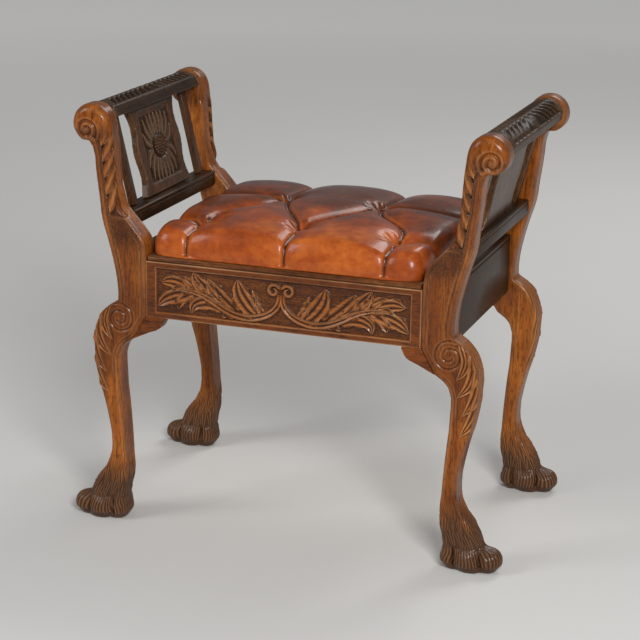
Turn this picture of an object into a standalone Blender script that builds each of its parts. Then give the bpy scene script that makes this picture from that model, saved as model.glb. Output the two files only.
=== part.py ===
"""Carved oak window seat with scrolled arms, paw feet and a hinged, deep-buttoned leather seat.

Metres, +Z up. The origin is on the floor, midway between the four feet. +X is the sitter's width,
-Y is the front. Each piece of wood, leather and metal is its own object.
"""

import math

import bmesh
import bpy
from mathutils import Matrix, Vector
from mathutils.bvhtree import BVHTree

# Overall frame
FRAME_WIDTH = 0.571
FRAME_DEPTH = 0.430
SEAT_RAIL_TOP = 0.459
TOTAL_HEIGHT = 0.710
FIT = 0.0003

# Leg posts, sawn from one plank each
PLANK = 0.044
POST_WIDTH = 0.051
ARRIS = 0.003
OUTLINE_STEPS = 3
SCROLL_RADIUS = 0.033
SCROLL_OVERHANG = 0.0445
ARM_LEAN = math.radians(13.5)
POST_LEAN = math.radians(7.5)
NECK_INSET = 0.0305
NECK_WIDTH = 0.032
ARM_SWELL = 0.030
SHOULDER_HEIGHT = 0.085
KNEE_REACH = 0.0445
KNEE_WIDTH = 0.046
KNEE_DROP = 0.060
ANKLE_OUT = 0.0145
ANKLE_WIDTH = 0.025
ANKLE_HEIGHT = 0.135
FETLOCK_REACH = 0.054
FETLOCK_HEIGHT = 0.050
NECK_TOP_DROP = 0.004
NECK_SHARE = 0.488
SWELL_RISE = 0.010
KNEE_NOTCH = 0.022
HEEL_STEP = 0.004
HEEL_TUCK = 0.014

# Curves of the sawn outline, as shares of the sizes above: sideways first, then up or down
SCROLL_CURL = (0.09, 0.82)
SWELL_CURVE = ((0.88, 0.75), (0.55, 0.35))
BELOW_RAIL_CURVE = ((0.15, 0.20), (0.0, 0.55))
KNEE_CURVE = ((0.52, -0.10), (0.90, 0.40), (1.0, 1.0))
SHIN_CURVE = ((0.74, 0.68), (0.28, 0.36), (0.0, 0.0))
FETLOCK_CURVE = ((0.20, 0.57), (0.65, 0.29), (1.0, 0.0))
CALF_CURVE = ((0.45, 0.30), (1.11, 0.72), (0.67, 1.0))
SHOULDER_CURVE = ((0.03, 0.20), (0.11, 0.39), (0.31, 0.54), (0.53, 0.68), (0.77, 0.83))
FOOT_SHARE = 0.35

# Paw feet, four lobes each
TOE_HEIGHT = 0.042
TOE_REACH = 0.088
TOE_RADIUS = 0.023
SIDE_TOE_RADIUS = 0.027
HEEL_RADIUS = 0.021
PAW_WIDTH = 0.060
LOBE_SEGMENTS = 14
LOBE_RINGS = 9

# Carved volutes on the scroll and on the knee
GROOVE_RADIUS = 0.0018
GROOVE_PROUD = 0.25
SCROLL_TURNS = 1.25
SCROLL_START = 42
SCROLL_GROOVE = 0.017
SCROLL_EYE_OUT = 0.008
SCROLL_EYE_DROP = 0.009
KNEE_VOLUTE_RADIUS = 0.019
KNEE_VOLUTE_TURNS = 1.1
KNEE_VOLUTE_START = 60
KNEE_EYE_IN = 0.004
KNEE_EYE_DROP = 0.008
VOLUTE_EYE = 0.006
VOLUTE_POINTS = 22

# Aprons
APRON_HEIGHT = 0.094
APRON_THICKNESS = 0.022
APRON_SETBACK = 0.002
PANEL_DEPTH = 0.003
PANEL_END_BORDER = 0.018
PANEL_EDGE_BORDER = 0.010
SIDE_APRON_THICKNESS = 0.020
SIDE_APRON_SETBACK = 0.008
EAR_LENGTH = 0.030
EAR_DROP = 0.040
EAR_LEG_RUN = 0.023
EAR_TIP = 0.004
EAR_THICKNESS = 0.022

# Arms
CREST_RADIUS = 0.0305
CREST_FACET = 0.018
CREST_LIP = 0.014
CREST_STEPS = 10
SPLAT_INSET = 0.006
LOWER_RAIL_WIDTH = 0.036
LOWER_RAIL_HEIGHT = 0.025
LOWER_RAIL_RISE = 0.047
LOWER_RAIL_BEAD = 0.004
SPLAT_THICKNESS = 0.012
SPLAT_END_HALF = 0.091
SPLAT_WAIST_HALF = 0.079
SPLAT_BELLY_HALF = 0.087
SPLAT_WAISTS = (0.22, 0.80)
SPLAT_BORDER = 0.018
SPLAT_SINK = 0.003
BAR_WIDTH = 0.020
BAR_THICKNESS = 0.009
BAR_POST_GAP = 0.033

# Box under the seat
LEDGE_THICKNESS = 0.008
BOTTOM_THICKNESS = 0.006
BEARER_WIDTH = 0.012
BEARER_HEIGHT = 0.010
BLOCK_LEG = 0.018

# Lid and upholstery
LID_THICKNESS = 0.009
LID_SIDE_CLEARANCE = 0.002
MOULDING_DEPTH = 0.006
BATTEN_WIDTH = 0.028
BATTEN_HEIGHT = 0.010
BATTEN_SIDE_GAP = 0.0925
BATTEN_END_CLEARANCE = 0.020
CUSHION_INSET = 0.003
CUSHION_SHOULDER = 0.041
CUSHION_CROWN = 0.024
CUSHION_BULGE = 0.008
COVER_TOP_SHARE = 0.84
COVER_SHOULDER_SHARE = 0.93
COVER_SIDE_TURN = math.radians(108.0)
COVER_SQUARENESS = 16.0
CUSHION_COLUMNS = 32
CUSHION_ROWS = 28
STUFFING_INSET = 0.018
STUFFING_HEIGHT = 0.022
BUTTON_RADIUS = 0.009
BUTTON_HEIGHT = 0.005
BUTTON_SIDES = 12
BUTTON_RINGS = 6
BUTTON_SIDE_GAP = 0.0615
BUTTON_PITCH_Y = 0.170
BUTTON_FRONT_ROW = -0.128
TUFT_DEPTH = 0.018
TUFT_RADIUS = 0.034
PLEAT_DEPTH = 0.008
PLEAT_RADIUS = 0.013

# Butt hinges
HINGE_SIDE_GAP = 0.0825
HINGE_LENGTH = 0.050
LEAF_WIDTH = 0.016
LEAF_THICKNESS = 0.0016
KNUCKLE_RADIUS = 0.0034
PIN_RADIUS = 0.0015
KNUCKLE_SIDES = 16

# Places that follow from the sizes above
FRAME_HALF = FRAME_WIDTH / 2
DEPTH_HALF = FRAME_DEPTH / 2
POST_INNER = FRAME_HALF - POST_WIDTH
PLANK_MIDDLE = DEPTH_HALF - PLANK / 2
PLANK_BACK = DEPTH_HALF - PLANK
APRON_BOTTOM = SEAT_RAIL_TOP - APRON_HEIGHT
APRON_FACE = DEPTH_HALF - APRON_SETBACK
APRON_INNER = APRON_FACE - APRON_THICKNESS
SIDE_FACE = FRAME_HALF - SIDE_APRON_SETBACK
SIDE_INNER = SIDE_FACE - SIDE_APRON_THICKNESS
SCROLL_X = FRAME_HALF + SCROLL_OVERHANG
SCROLL_Z = TOTAL_HEIGHT - SCROLL_RADIUS
LOWER_RAIL_BOTTOM = SEAT_RAIL_TOP + LOWER_RAIL_RISE
LOWER_RAIL_TOP = LOWER_RAIL_BOTTOM + LOWER_RAIL_HEIGHT
LID_HALF = POST_INNER - LID_SIDE_CLEARANCE
BATTEN_OFFSET = LID_HALF - BATTEN_SIDE_GAP
HINGE_OFFSET = LID_HALF - HINGE_SIDE_GAP
BUTTON_PITCH_X = LID_HALF - CUSHION_INSET - BUTTON_SIDE_GAP
LID_BOTTOM = SEAT_RAIL_TOP + FIT
LID_TOP = LID_BOTTOM + LID_THICKNESS
HINGE_Y = APRON_FACE + KNUCKLE_RADIUS + FIT
HINGE_Z = SEAT_RAIL_TOP + FIT / 2

COLLECTION_NAME = "window_seat"
CUTTER_COLLECTION_NAME = "window_seat_cutters"


def clear_scene():
    """Remove what the file holds and make the two collections."""
    for item in list(bpy.data.objects):
        bpy.data.objects.remove(item, do_unlink=True)
    for name in (COLLECTION_NAME, CUTTER_COLLECTION_NAME):
        collection = bpy.data.collections.new(name)
        bpy.context.scene.collection.children.link(collection)
    return (
        bpy.data.collections[COLLECTION_NAME],
        bpy.data.collections[CUTTER_COLLECTION_NAME],
    )


PARTS, CUTTERS = clear_scene()


def principled(name, colour, roughness, metallic=0.0):
    """A plain Principled material."""
    material = bpy.data.materials.new(name)
    material.use_nodes = True
    shader = material.node_tree.nodes["Principled BSDF"]
    shader.inputs["Base Color"].default_value = (*colour, 1.0)
    shader.inputs["Roughness"].default_value = roughness
    shader.inputs["Metallic"].default_value = metallic
    return material


OAK = principled("polished_oak", (0.30, 0.11, 0.035), 0.32)
PINE = principled("box_pine", (0.36, 0.22, 0.11), 0.65)
LEATHER = principled("tan_leather", (0.33, 0.10, 0.025), 0.30)
HORSEHAIR = principled("horsehair_pad", (0.20, 0.15, 0.10), 0.90)
BRASS = principled("aged_brass", (0.45, 0.32, 0.13), 0.40, 1.0)


def link(name, mesh, material, collection=None):
    """Put a mesh in the scene as a named piece."""
    item = bpy.data.objects.new(name, mesh)
    (collection or PARTS).objects.link(item)
    if material is not None and not mesh.materials:
        mesh.materials.append(material)
    return item


def mesh_from(name, bm):
    """Turn a bmesh into a mesh with its faces pointing out."""
    bmesh.ops.recalc_face_normals(bm, faces=bm.faces)
    mesh = bpy.data.meshes.new(name)
    bm.to_mesh(mesh)
    bm.free()
    return mesh


def box(name, low, high, material, edge=0.0, collection=None):
    """A box between two corners, with its arrises rounded by edge."""
    low = Vector(low)
    high = Vector(high)
    bm = bmesh.new()
    bmesh.ops.create_cube(bm, size=1.0, matrix=Matrix.Diagonal((*(high - low), 1.0)))
    item = link(name, mesh_from(name, bm), material, collection)
    item.location = (low + high) / 2
    if edge > 0.0:
        bevel = item.modifiers.new("arris", "BEVEL")
        bevel.width = edge
        bevel.segments = 1
    return item


def curve_mesh(curve, name):
    """Make a curve a closed mesh and remove the curve."""
    guide = bpy.data.objects.new(name + "_curve", curve)
    CUTTERS.objects.link(guide)
    graph = bpy.context.evaluated_depsgraph_get()
    mesh = bpy.data.meshes.new_from_object(guide.evaluated_get(graph))
    mesh.name = name
    bpy.data.objects.remove(guide, do_unlink=True)
    bm = bmesh.new()
    bm.from_mesh(mesh)
    bmesh.ops.remove_doubles(bm, verts=bm.verts, dist=0.00001)
    bmesh.ops.recalc_face_normals(bm, faces=bm.faces)
    bm.to_mesh(mesh)
    bm.free()
    mesh.materials.clear()
    return mesh


def outline_curve(name, points, thickness, edge=0.0, steps=1):
    """A flat outline of (x, y, is_corner) points, filled and given a thickness along its normal."""
    curve = bpy.data.curves.new(name, "CURVE")
    curve.dimensions = "2D"
    curve.fill_mode = "BOTH"
    curve.extrude = thickness / 2 - edge
    curve.bevel_depth = edge
    curve.bevel_resolution = 0
    curve.offset = -edge
    curve.resolution_u = steps
    spline = curve.splines.new("BEZIER")
    spline.bezier_points.add(len(points) - 1)
    spline.use_cyclic_u = True
    for knot, (x, y, is_corner) in zip(spline.bezier_points, points):
        knot.co = (x, y, 0.0)
        handle = "VECTOR" if is_corner else "AUTO"
        knot.handle_left_type = handle
        knot.handle_right_type = handle
    return curve


def poly_prism(name, points, thickness, edge=0.0):
    """A prism on a straight-sided outline of (x, y) points, centred on its own plane."""
    return curve_mesh(outline_curve(name, [(x, y, True) for x, y in points], thickness, edge), name)


UPRIGHT = Matrix.Rotation(math.radians(90.0), 4, "X")


def boolean(item, cutter, operation):
    """Join or cut with a hidden helper object."""
    cutter.hide_render = True
    cutter.display_type = "WIRE"
    modifier = item.modifiers.new(operation.lower(), "BOOLEAN")
    modifier.operation = operation
    modifier.object = cutter
    modifier.solver = "EXACT"
    return modifier


def settle(item):
    """Apply an item's modifiers to its mesh, so that the mesh can be shared."""
    graph = bpy.context.evaluated_depsgraph_get()
    mesh = bpy.data.meshes.new_from_object(item.evaluated_get(graph))
    item.modifiers.clear()
    item.data = mesh
    return mesh


def lerp(start, end, share):
    """A value part of the way between two others."""
    return start + (end - start) * share


def post_inner_edge(height):
    """X of the leaning inner edge of an arm post at a height."""
    return SCROLL_X - NECK_INSET - (SCROLL_Z - height) * math.tan(POST_LEAN)


def scroll_point(degrees, radius):
    """A point of the scroll's outline."""
    angle = math.radians(degrees)
    return (SCROLL_X + radius * math.cos(angle), SCROLL_Z + radius * math.sin(angle), False)


def arm_outer_points():
    """Outer edge of the arm post, from under the scroll down to the seat rail."""
    swell_top = SEAT_RAIL_TOP + SHOULDER_HEIGHT + SWELL_RISE
    neck_high = SCROLL_Z - SCROLL_RADIUS - NECK_TOP_DROP
    neck_low = lerp(neck_high, swell_top, NECK_SHARE)
    neck = [
        (post_inner_edge(neck_high) + NECK_WIDTH, neck_high, False),
        (post_inner_edge(neck_low) + NECK_WIDTH, neck_low, False),
        (FRAME_HALF + ARM_SWELL, swell_top, False),
    ]
    swell = [
        (FRAME_HALF + ARM_SWELL * out, SEAT_RAIL_TOP + SHOULDER_HEIGHT * up, False)
        for out, up in SWELL_CURVE
    ]
    below = [
        (FRAME_HALF + ARM_SWELL * out, SEAT_RAIL_TOP - APRON_HEIGHT * down, False)
        for out, down in BELOW_RAIL_CURVE
    ]
    return neck + swell + below


def leg_outer_points():
    """Outer edge of the leg, over the knee and down to the fetlock."""
    knee_z = APRON_BOTTOM - KNEE_DROP
    knee_x = FRAME_HALF + KNEE_REACH
    ankle_x = FRAME_HALF + ANKLE_OUT
    fetlock_x = FRAME_HALF + FETLOCK_REACH
    notch = [(FRAME_HALF, APRON_BOTTOM + KNEE_NOTCH, True)]
    knee = [
        (FRAME_HALF + KNEE_REACH * out, APRON_BOTTOM - KNEE_DROP * down, False) for out, down in KNEE_CURVE
    ]
    shin = [
        (lerp(ankle_x, knee_x, out), lerp(ANKLE_HEIGHT, knee_z, up), False) for out, up in SHIN_CURVE
    ]
    fetlock = [
        (lerp(ankle_x, fetlock_x, out), lerp(FETLOCK_HEIGHT, ANKLE_HEIGHT, up), False)
        for out, up in FETLOCK_CURVE
    ]
    foot = [(fetlock_x - HEEL_STEP, TOE_HEIGHT * FOOT_SHARE, False)]
    return notch + knee + shin + fetlock + foot


def leg_inner_points():
    """Inner edge of the leg, from the heel up to the seat rail."""
    knee_z = APRON_BOTTOM - KNEE_DROP
    ankle_x = FRAME_HALF + ANKLE_OUT - ANKLE_WIDTH
    knee_x = FRAME_HALF + KNEE_REACH - KNEE_WIDTH
    heel = [
        (ankle_x + HEEL_TUCK, TOE_HEIGHT * FOOT_SHARE, False),
        (ankle_x + HEEL_STEP, FETLOCK_HEIGHT, False),
        (ankle_x, (FETLOCK_HEIGHT + ANKLE_HEIGHT) / 2, False),
    ]
    calf = [
        (lerp(ankle_x, knee_x, out), lerp(ANKLE_HEIGHT, knee_z, up), False) for out, up in CALF_CURVE
    ]
    rail = [
        (POST_INNER + EAR_LEG_RUN, APRON_BOTTOM - EAR_DROP, True),
        (POST_INNER, APRON_BOTTOM, True),
        (POST_INNER, SEAT_RAIL_TOP, True),
    ]
    return heel + calf + rail


def shoulder_points():
    """Inner edge of the arm post, from the seat rail up to the scroll."""
    top = SEAT_RAIL_TOP + SHOULDER_HEIGHT
    run = post_inner_edge(top) - POST_INNER
    shoulder = [
        (POST_INNER + run * out, SEAT_RAIL_TOP + SHOULDER_HEIGHT * up, False) for out, up in SHOULDER_CURVE
    ]
    return shoulder + [
        (post_inner_edge(top), top, False),
        (post_inner_edge(SCROLL_Z - SCROLL_RADIUS), SCROLL_Z - SCROLL_RADIUS, False),
    ]


def post_outline():
    """The sawn outline of a right-hand leg post, clockwise from the top of the scroll."""
    scroll = [scroll_point(degrees, SCROLL_RADIUS) for degrees in (90, 52, 14, -24)]
    curl = [
        scroll_point(-58, SCROLL_RADIUS * 0.94),
        (SCROLL_X + SCROLL_RADIUS * SCROLL_CURL[0], SCROLL_Z - SCROLL_RADIUS * SCROLL_CURL[1], True),
    ]
    crown = [scroll_point(degrees, SCROLL_RADIUS) for degrees in (172, 130)]
    outer = arm_outer_points() + leg_outer_points()
    return scroll + curl + outer + leg_inner_points() + shoulder_points() + crown


def paw_lobes(side):
    """Centres and radii of the four lobes of a paw: outer toe, two side toes and heel."""
    toe_x = FRAME_HALF + TOE_REACH - TOE_RADIUS
    heel_x = FRAME_HALF + ANKLE_OUT - ANKLE_WIDTH + HEEL_RADIUS
    middle = lerp(heel_x, toe_x, 0.52)
    side_y = PAW_WIDTH / 2 - SIDE_TOE_RADIUS * 0.62
    rise = TOE_HEIGHT * 0.45
    height = TOE_HEIGHT - rise
    return [
        (Vector((side * toe_x, 0.0, rise)), Vector((TOE_RADIUS, TOE_RADIUS, height))),
        (Vector((side * middle, -side_y, rise)), Vector((SIDE_TOE_RADIUS, SIDE_TOE_RADIUS * 0.62, height))),
        (Vector((side * middle, side_y, rise)), Vector((SIDE_TOE_RADIUS, SIDE_TOE_RADIUS * 0.62, height))),
        (Vector((side * heel_x, 0.0, rise)), Vector((HEEL_RADIUS, PAW_WIDTH * 0.44, height))),
    ]


def lobe(name, centre, radii):
    """One toe: an ellipsoid cut flat where it stands on the floor."""
    bm = bmesh.new()
    shape = Matrix.Translation(centre) @ Matrix.Diagonal((*radii, 1.0))
    bmesh.ops.create_uvsphere(bm, u_segments=LOBE_SEGMENTS, v_segments=LOBE_RINGS, radius=1.0, matrix=shape)
    everything = bm.verts[:] + bm.edges[:] + bm.faces[:]
    cut = bmesh.ops.bisect_plane(
        bm, geom=everything, plane_co=(0, 0, 0), plane_no=(0, 0, -1), clear_outer=True
    )
    rim = [edge for edge in cut["geom_cut"] if isinstance(edge, bmesh.types.BMEdge)]
    bmesh.ops.contextual_create(bm, geom=rim)
    return link(name, mesh_from(name, bm), None, CUTTERS)


def volute(name, centre, face_y, outer_radius, turns, start_degrees, hand):
    """A spiral groove cutter on an upright face, winding in to its eye."""
    curve = bpy.data.curves.new(name, "CURVE")
    curve.dimensions = "3D"
    curve.bevel_depth = GROOVE_RADIUS
    curve.bevel_resolution = 0
    curve.use_fill_caps = True
    spline = curve.splines.new("POLY")
    spline.points.add(VOLUTE_POINTS - 1)
    for index, point in enumerate(spline.points):
        share = index / (VOLUTE_POINTS - 1)
        radius = lerp(outer_radius, VOLUTE_EYE, share)
        angle = math.radians(start_degrees) + hand * share * turns * math.tau
        point.co = (centre[0] + radius * math.cos(angle), face_y, centre[1] + radius * math.sin(angle), 1.0)
    return link(name, curve_mesh(curve, name), None, CUTTERS)


def post_mesh(side):
    """A front leg post of the given hand (+1 right, -1 left), about the middle of its plank."""
    name = "right_post" if side > 0 else "left_post"
    points = [(side * x, z, corner) for x, z, corner in post_outline()]
    mesh = curve_mesh(outline_curve(name, points, PLANK, ARRIS, OUTLINE_STEPS), name)
    mesh.transform(UPRIGHT)
    plank = link(name, mesh, OAK, CUTTERS)
    for index, (centre, radii) in enumerate(paw_lobes(side)):
        boolean(plank, lobe(f"{name}_toe_{index}", centre, radii), "UNION")
    scroll_start = 270 - side * SCROLL_START
    knee_start = 90 + side * KNEE_VOLUTE_START
    scroll_eye = (side * (SCROLL_X + SCROLL_EYE_OUT), SCROLL_Z - SCROLL_EYE_DROP)
    knee_eye = (side * (FRAME_HALF - KNEE_EYE_IN), APRON_BOTTOM - KNEE_EYE_DROP)
    face = -PLANK / 2 - GROOVE_RADIUS * GROOVE_PROUD
    spiral = volute(f"{name}_scroll", scroll_eye, face, SCROLL_GROOVE, SCROLL_TURNS, scroll_start, -side)
    boolean(plank, spiral, "DIFFERENCE")
    knee = volute(f"{name}_knee", knee_eye, face, KNEE_VOLUTE_RADIUS, KNEE_VOLUTE_TURNS, knee_start, side)
    boolean(plank, knee, "DIFFERENCE")
    settled = settle(plank)
    bpy.data.objects.remove(plank, do_unlink=True)
    return settled


def add_leg_posts():
    """Four leg posts: each back post is the opposite front post turned half round."""
    right = post_mesh(1)
    left = post_mesh(-1)
    for name, mesh, back in (
        ("front_right_leg_post", right, False),
        ("front_left_leg_post", left, False),
        ("back_left_leg_post", right, True),
        ("back_right_leg_post", left, True),
    ):
        item = link(name, mesh, OAK)
        item.location = (0.0, PLANK_MIDDLE if back else -PLANK_MIDDLE, 0.0)
        item.rotation_euler = (0.0, 0.0, math.pi if back else 0.0)


def hinge_places():
    """Names and X places of the two hinges."""
    return (("left", -HINGE_OFFSET), ("right", HINGE_OFFSET))


def leaf_recess(name, centre_x, low_z, high_z):
    """A cutter that lets a hinge leaf into an edge."""
    return box(
        name,
        (centre_x - HINGE_LENGTH / 2 - FIT, HINGE_Y - KNUCKLE_RADIUS - LEAF_WIDTH - FIT, low_z),
        (centre_x + HINGE_LENGTH / 2 + FIT, HINGE_Y + KNUCKLE_RADIUS, high_z),
        None,
        collection=CUTTERS,
    )


def add_aprons():
    """Front and back aprons with their sunk panels, and the plain side aprons."""
    half = POST_INNER - FIT
    for name, front in (("front_apron", -1), ("back_apron", 1)):
        faces = sorted((front * APRON_FACE, front * APRON_INNER))
        apron = box(name, (-half, faces[0], APRON_BOTTOM), (half, faces[1], SEAT_RAIL_TOP), OAK)
        ground = sorted((front * (APRON_FACE - PANEL_DEPTH), front * (APRON_FACE + PANEL_DEPTH)))
        panel = box(
            name + "_panel",
            (-half + PANEL_END_BORDER, ground[0], APRON_BOTTOM + PANEL_EDGE_BORDER),
            (half - PANEL_END_BORDER, ground[1], SEAT_RAIL_TOP - PANEL_EDGE_BORDER),
            None,
            collection=CUTTERS,
        )
        boolean(apron, panel, "DIFFERENCE")
    for hand, centre_x in hinge_places():
        recess = leaf_recess(
            f"{hand}_apron_recess", centre_x, HINGE_Z - LEAF_THICKNESS - FIT, HINGE_Z + LEAF_THICKNESS
        )
        boolean(PARTS.objects["back_apron"], recess, "DIFFERENCE")
    for name, side in (("left_apron", -1), ("right_apron", 1)):
        faces = sorted((side * SIDE_FACE, side * SIDE_INNER))
        reach = PLANK_BACK - FIT
        box(name, (faces[0], -reach, APRON_BOTTOM), (faces[1], reach, SEAT_RAIL_TOP), OAK, ARRIS / 2)


def add_ear_brackets():
    """Four small shaped brackets in the corners between aprons and legs."""
    for end, front in (("front", -1), ("back", 1)):
        for hand, side in (("left", -1), ("right", 1)):
            top = APRON_BOTTOM - FIT
            inner = POST_INNER - FIT
            points = [
                (side * inner, top, True),
                (side * (inner - EAR_LENGTH), top, True),
                (side * (inner - EAR_LENGTH), top - EAR_TIP, True),
                (side * (inner - EAR_LENGTH * 0.72), top - EAR_DROP * 0.46, False),
                (side * (inner - EAR_LENGTH * 0.16), top - EAR_DROP * 0.66, False),
                (side * (inner + EAR_LEG_RUN - 2 * FIT), top - EAR_DROP, True),
            ]
            name = f"{end}_{hand}_ear_bracket"
            mesh = curve_mesh(outline_curve(name, points, EAR_THICKNESS, 0.0, OUTLINE_STEPS), name)
            mesh.transform(UPRIGHT)
            item = link(name, mesh, OAK)
            item.location = (0.0, front * (APRON_FACE - EAR_THICKNESS / 2), 0.0)


def crest_points(side):
    """Section of a crest rail: a half round leaning outwards, flat on the inner face and underneath."""
    lean = Matrix.Rotation(-ARM_LEAN, 2)
    section = [Vector((-CREST_RADIUS, 0.0)), Vector((-CREST_RADIUS * 0.86, CREST_FACET))]
    start = math.atan2(CREST_FACET, -CREST_RADIUS * 0.86)
    stop = math.asin(CREST_LIP / CREST_RADIUS)
    for step in range(1, CREST_STEPS + 1):
        angle = lerp(start, stop, step / CREST_STEPS)
        section.append(CREST_RADIUS * Vector((math.cos(angle), math.sin(angle))))
    section.append(Vector((section[-1].x, 0.0)))
    turned = [lean @ point for point in section]
    return [(side * (SCROLL_X + point.x), SCROLL_Z + point.y) for point in turned]


def add_arm_rails():
    """Crest rails between the scrolls and moulded lower rails."""
    length = 2 * (PLANK_BACK - FIT)
    for hand, side in (("left", -1), ("right", 1)):
        crest = poly_prism(f"{hand}_crest_rail", crest_points(side), length)
        crest.transform(UPRIGHT)
        link(f"{hand}_crest_rail", crest, OAK)
        rail = poly_prism(f"{hand}_lower_arm_rail", lower_rail_points(side), length)
        rail.transform(UPRIGHT)
        link(f"{hand}_lower_arm_rail", rail, OAK)


def lower_rail_points(side):
    """Section of a lower arm rail: flat, with a bead worked along each top edge."""
    middle = splat_centre_x(LOWER_RAIL_TOP)
    half = LOWER_RAIL_WIDTH / 2
    quirk = LOWER_RAIL_BEAD / 3
    right = [
        (half, LOWER_RAIL_BOTTOM),
        (half, LOWER_RAIL_TOP - 2 * LOWER_RAIL_BEAD),
        (half - quirk, LOWER_RAIL_TOP - 2 * LOWER_RAIL_BEAD + quirk),
        (half, LOWER_RAIL_TOP - 2 * LOWER_RAIL_BEAD + 2 * quirk),
        (half, LOWER_RAIL_TOP - LOWER_RAIL_BEAD / 2),
        (half - LOWER_RAIL_BEAD / 2, LOWER_RAIL_TOP),
    ]
    left = [(-x, z) for x, z in reversed(right)]
    return [(side * (middle + x), z) for x, z in right + left]


def splat_centre_x(height):
    """X of the leaning middle plane that splats and bars stand in."""
    return SCROLL_X - SPLAT_INSET - (SCROLL_Z - height) * math.tan(ARM_LEAN)


def arm_plane(side):
    """Matrix from a splat's own plane (along the arm, up the lean) to the arm, from the lower rail up."""
    up = Vector((side * math.sin(ARM_LEAN), 0.0, math.cos(ARM_LEAN)))
    along = Vector((0.0, side, 0.0))
    normal = along.cross(up)
    origin = Vector((side * splat_centre_x(LOWER_RAIL_TOP), 0.0, LOWER_RAIL_TOP))
    turn = Matrix((along, up, normal)).transposed().to_4x4()
    return Matrix.Translation(origin) @ turn


def arm_infill_span(thickness):
    """Lowest and highest place up the lean of a piece that fits between the rails."""
    foot = thickness / 2 * math.tan(ARM_LEAN) + FIT
    under_crest = (SCROLL_Z - LOWER_RAIL_TOP) / math.cos(ARM_LEAN)
    top = under_crest - FIT + SPLAT_INSET * math.sin(ARM_LEAN)
    return foot, top


def splat_points():
    """Outline of a splat with wavy sides, along the arm and up the lean."""
    foot, top = arm_infill_span(SPLAT_THICKNESS)
    span = top - foot
    right = [
        (SPLAT_END_HALF, foot, True),
        (SPLAT_WAIST_HALF, foot + span * SPLAT_WAISTS[0], False),
        (SPLAT_BELLY_HALF, (foot + top) / 2, False),
        (SPLAT_WAIST_HALF, foot + span * SPLAT_WAISTS[1], False),
        (SPLAT_END_HALF, top, True),
    ]
    left = [(-along, up, corner) for along, up, corner in reversed(right)]
    return right + left


def add_arm_infill():
    """Carved splats with a sunk panel on their inner face, and the plain bars beside them."""
    foot, top = arm_infill_span(SPLAT_THICKNESS)
    bar_foot, bar_top = arm_infill_span(BAR_THICKNESS)
    for hand, side in (("left", -1), ("right", 1)):
        place = arm_plane(side)
        name = f"{hand}_splat"
        mesh = curve_mesh(outline_curve(name, splat_points(), SPLAT_THICKNESS, 0.0, OUTLINE_STEPS), name)
        mesh.transform(place)
        splat = link(name, mesh, OAK)
        inner_half = SPLAT_WAIST_HALF - SPLAT_BORDER
        panel = poly_prism(
            name + "_panel",
            [
                (-inner_half, foot + SPLAT_BORDER),
                (inner_half, foot + SPLAT_BORDER),
                (inner_half, top - SPLAT_BORDER / 2),
                (-inner_half, top - SPLAT_BORDER / 2),
            ],
            2 * SPLAT_SINK,
        )
        panel.transform(place @ Matrix.Translation((0.0, 0.0, -SPLAT_THICKNESS / 2)))
        boolean(splat, link(name + "_panel", panel, None, CUTTERS), "DIFFERENCE")
        for end, front in (("front", -1), ("back", 1)):
            centre = front * side * (PLANK_BACK - BAR_POST_GAP)
            sides = (centre - BAR_WIDTH / 2, centre + BAR_WIDTH / 2)
            outline = [
                (sides[0], bar_foot),
                (sides[1], bar_foot),
                (sides[1], bar_top),
                (sides[0], bar_top),
            ]
            bar_name = f"{hand}_{end}_arm_bar"
            bar = poly_prism(bar_name, outline, BAR_THICKNESS)
            bar.transform(place)
            link(bar_name, bar, OAK)


def add_box():
    """Side ledges, bottom board, bearers and glue blocks of the box under the lid."""
    reach = PLANK_BACK - FIT
    for hand, side in (("left", -1), ("right", 1)):
        edges = sorted((side * POST_INNER, side * SIDE_FACE))
        box(
            f"{hand}_side_ledge",
            (edges[0], -reach, SEAT_RAIL_TOP + FIT),
            (edges[1], reach, SEAT_RAIL_TOP + FIT + LEDGE_THICKNESS),
            OAK,
            ARRIS / 2,
        )
    bearer_low = APRON_BOTTOM + FIT
    bearer_high = bearer_low + BEARER_HEIGHT
    for end, front in (("front", -1), ("back", 1)):
        edges = sorted((front * (APRON_INNER - FIT), front * (APRON_INNER - FIT - BEARER_WIDTH)))
        half = POST_INNER - FIT
        box(f"{end}_bearer", (-half, edges[0], bearer_low), (half, edges[1], bearer_high), PINE)
    for hand, side in (("left", -1), ("right", 1)):
        edges = sorted((side * (SIDE_INNER - FIT), side * (SIDE_INNER - FIT - BEARER_WIDTH)))
        box(f"{hand}_bearer", (edges[0], -reach, bearer_low), (edges[1], reach, bearer_high), PINE)
    add_bottom_board(bearer_high + FIT)
    add_glue_blocks(bearer_high + BOTTOM_THICKNESS + 2 * FIT)


def add_bottom_board(low):
    """The thin bottom of the box, notched round the four posts."""
    board_x = SIDE_INNER - FIT
    board_y = APRON_INNER - FIT
    notch_x = POST_INNER - FIT
    notch_y = PLANK_BACK - FIT
    quarter = [(notch_x, board_y), (notch_x, notch_y), (board_x, notch_y)]
    points = []
    for sign_x, sign_y, corner in ((1, 1, quarter), (1, -1, quarter[::-1])):
        points += [(sign_x * x, sign_y * y) for x, y in corner]
    for sign_x, sign_y, corner in ((-1, -1, quarter), (-1, 1, quarter[::-1])):
        points += [(sign_x * x, sign_y * y) for x, y in corner]
    mesh = poly_prism("bottom_board", points, BOTTOM_THICKNESS)
    board = link("bottom_board", mesh, PINE)
    board.location = (0.0, 0.0, low + BOTTOM_THICKNESS / 2)


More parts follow.
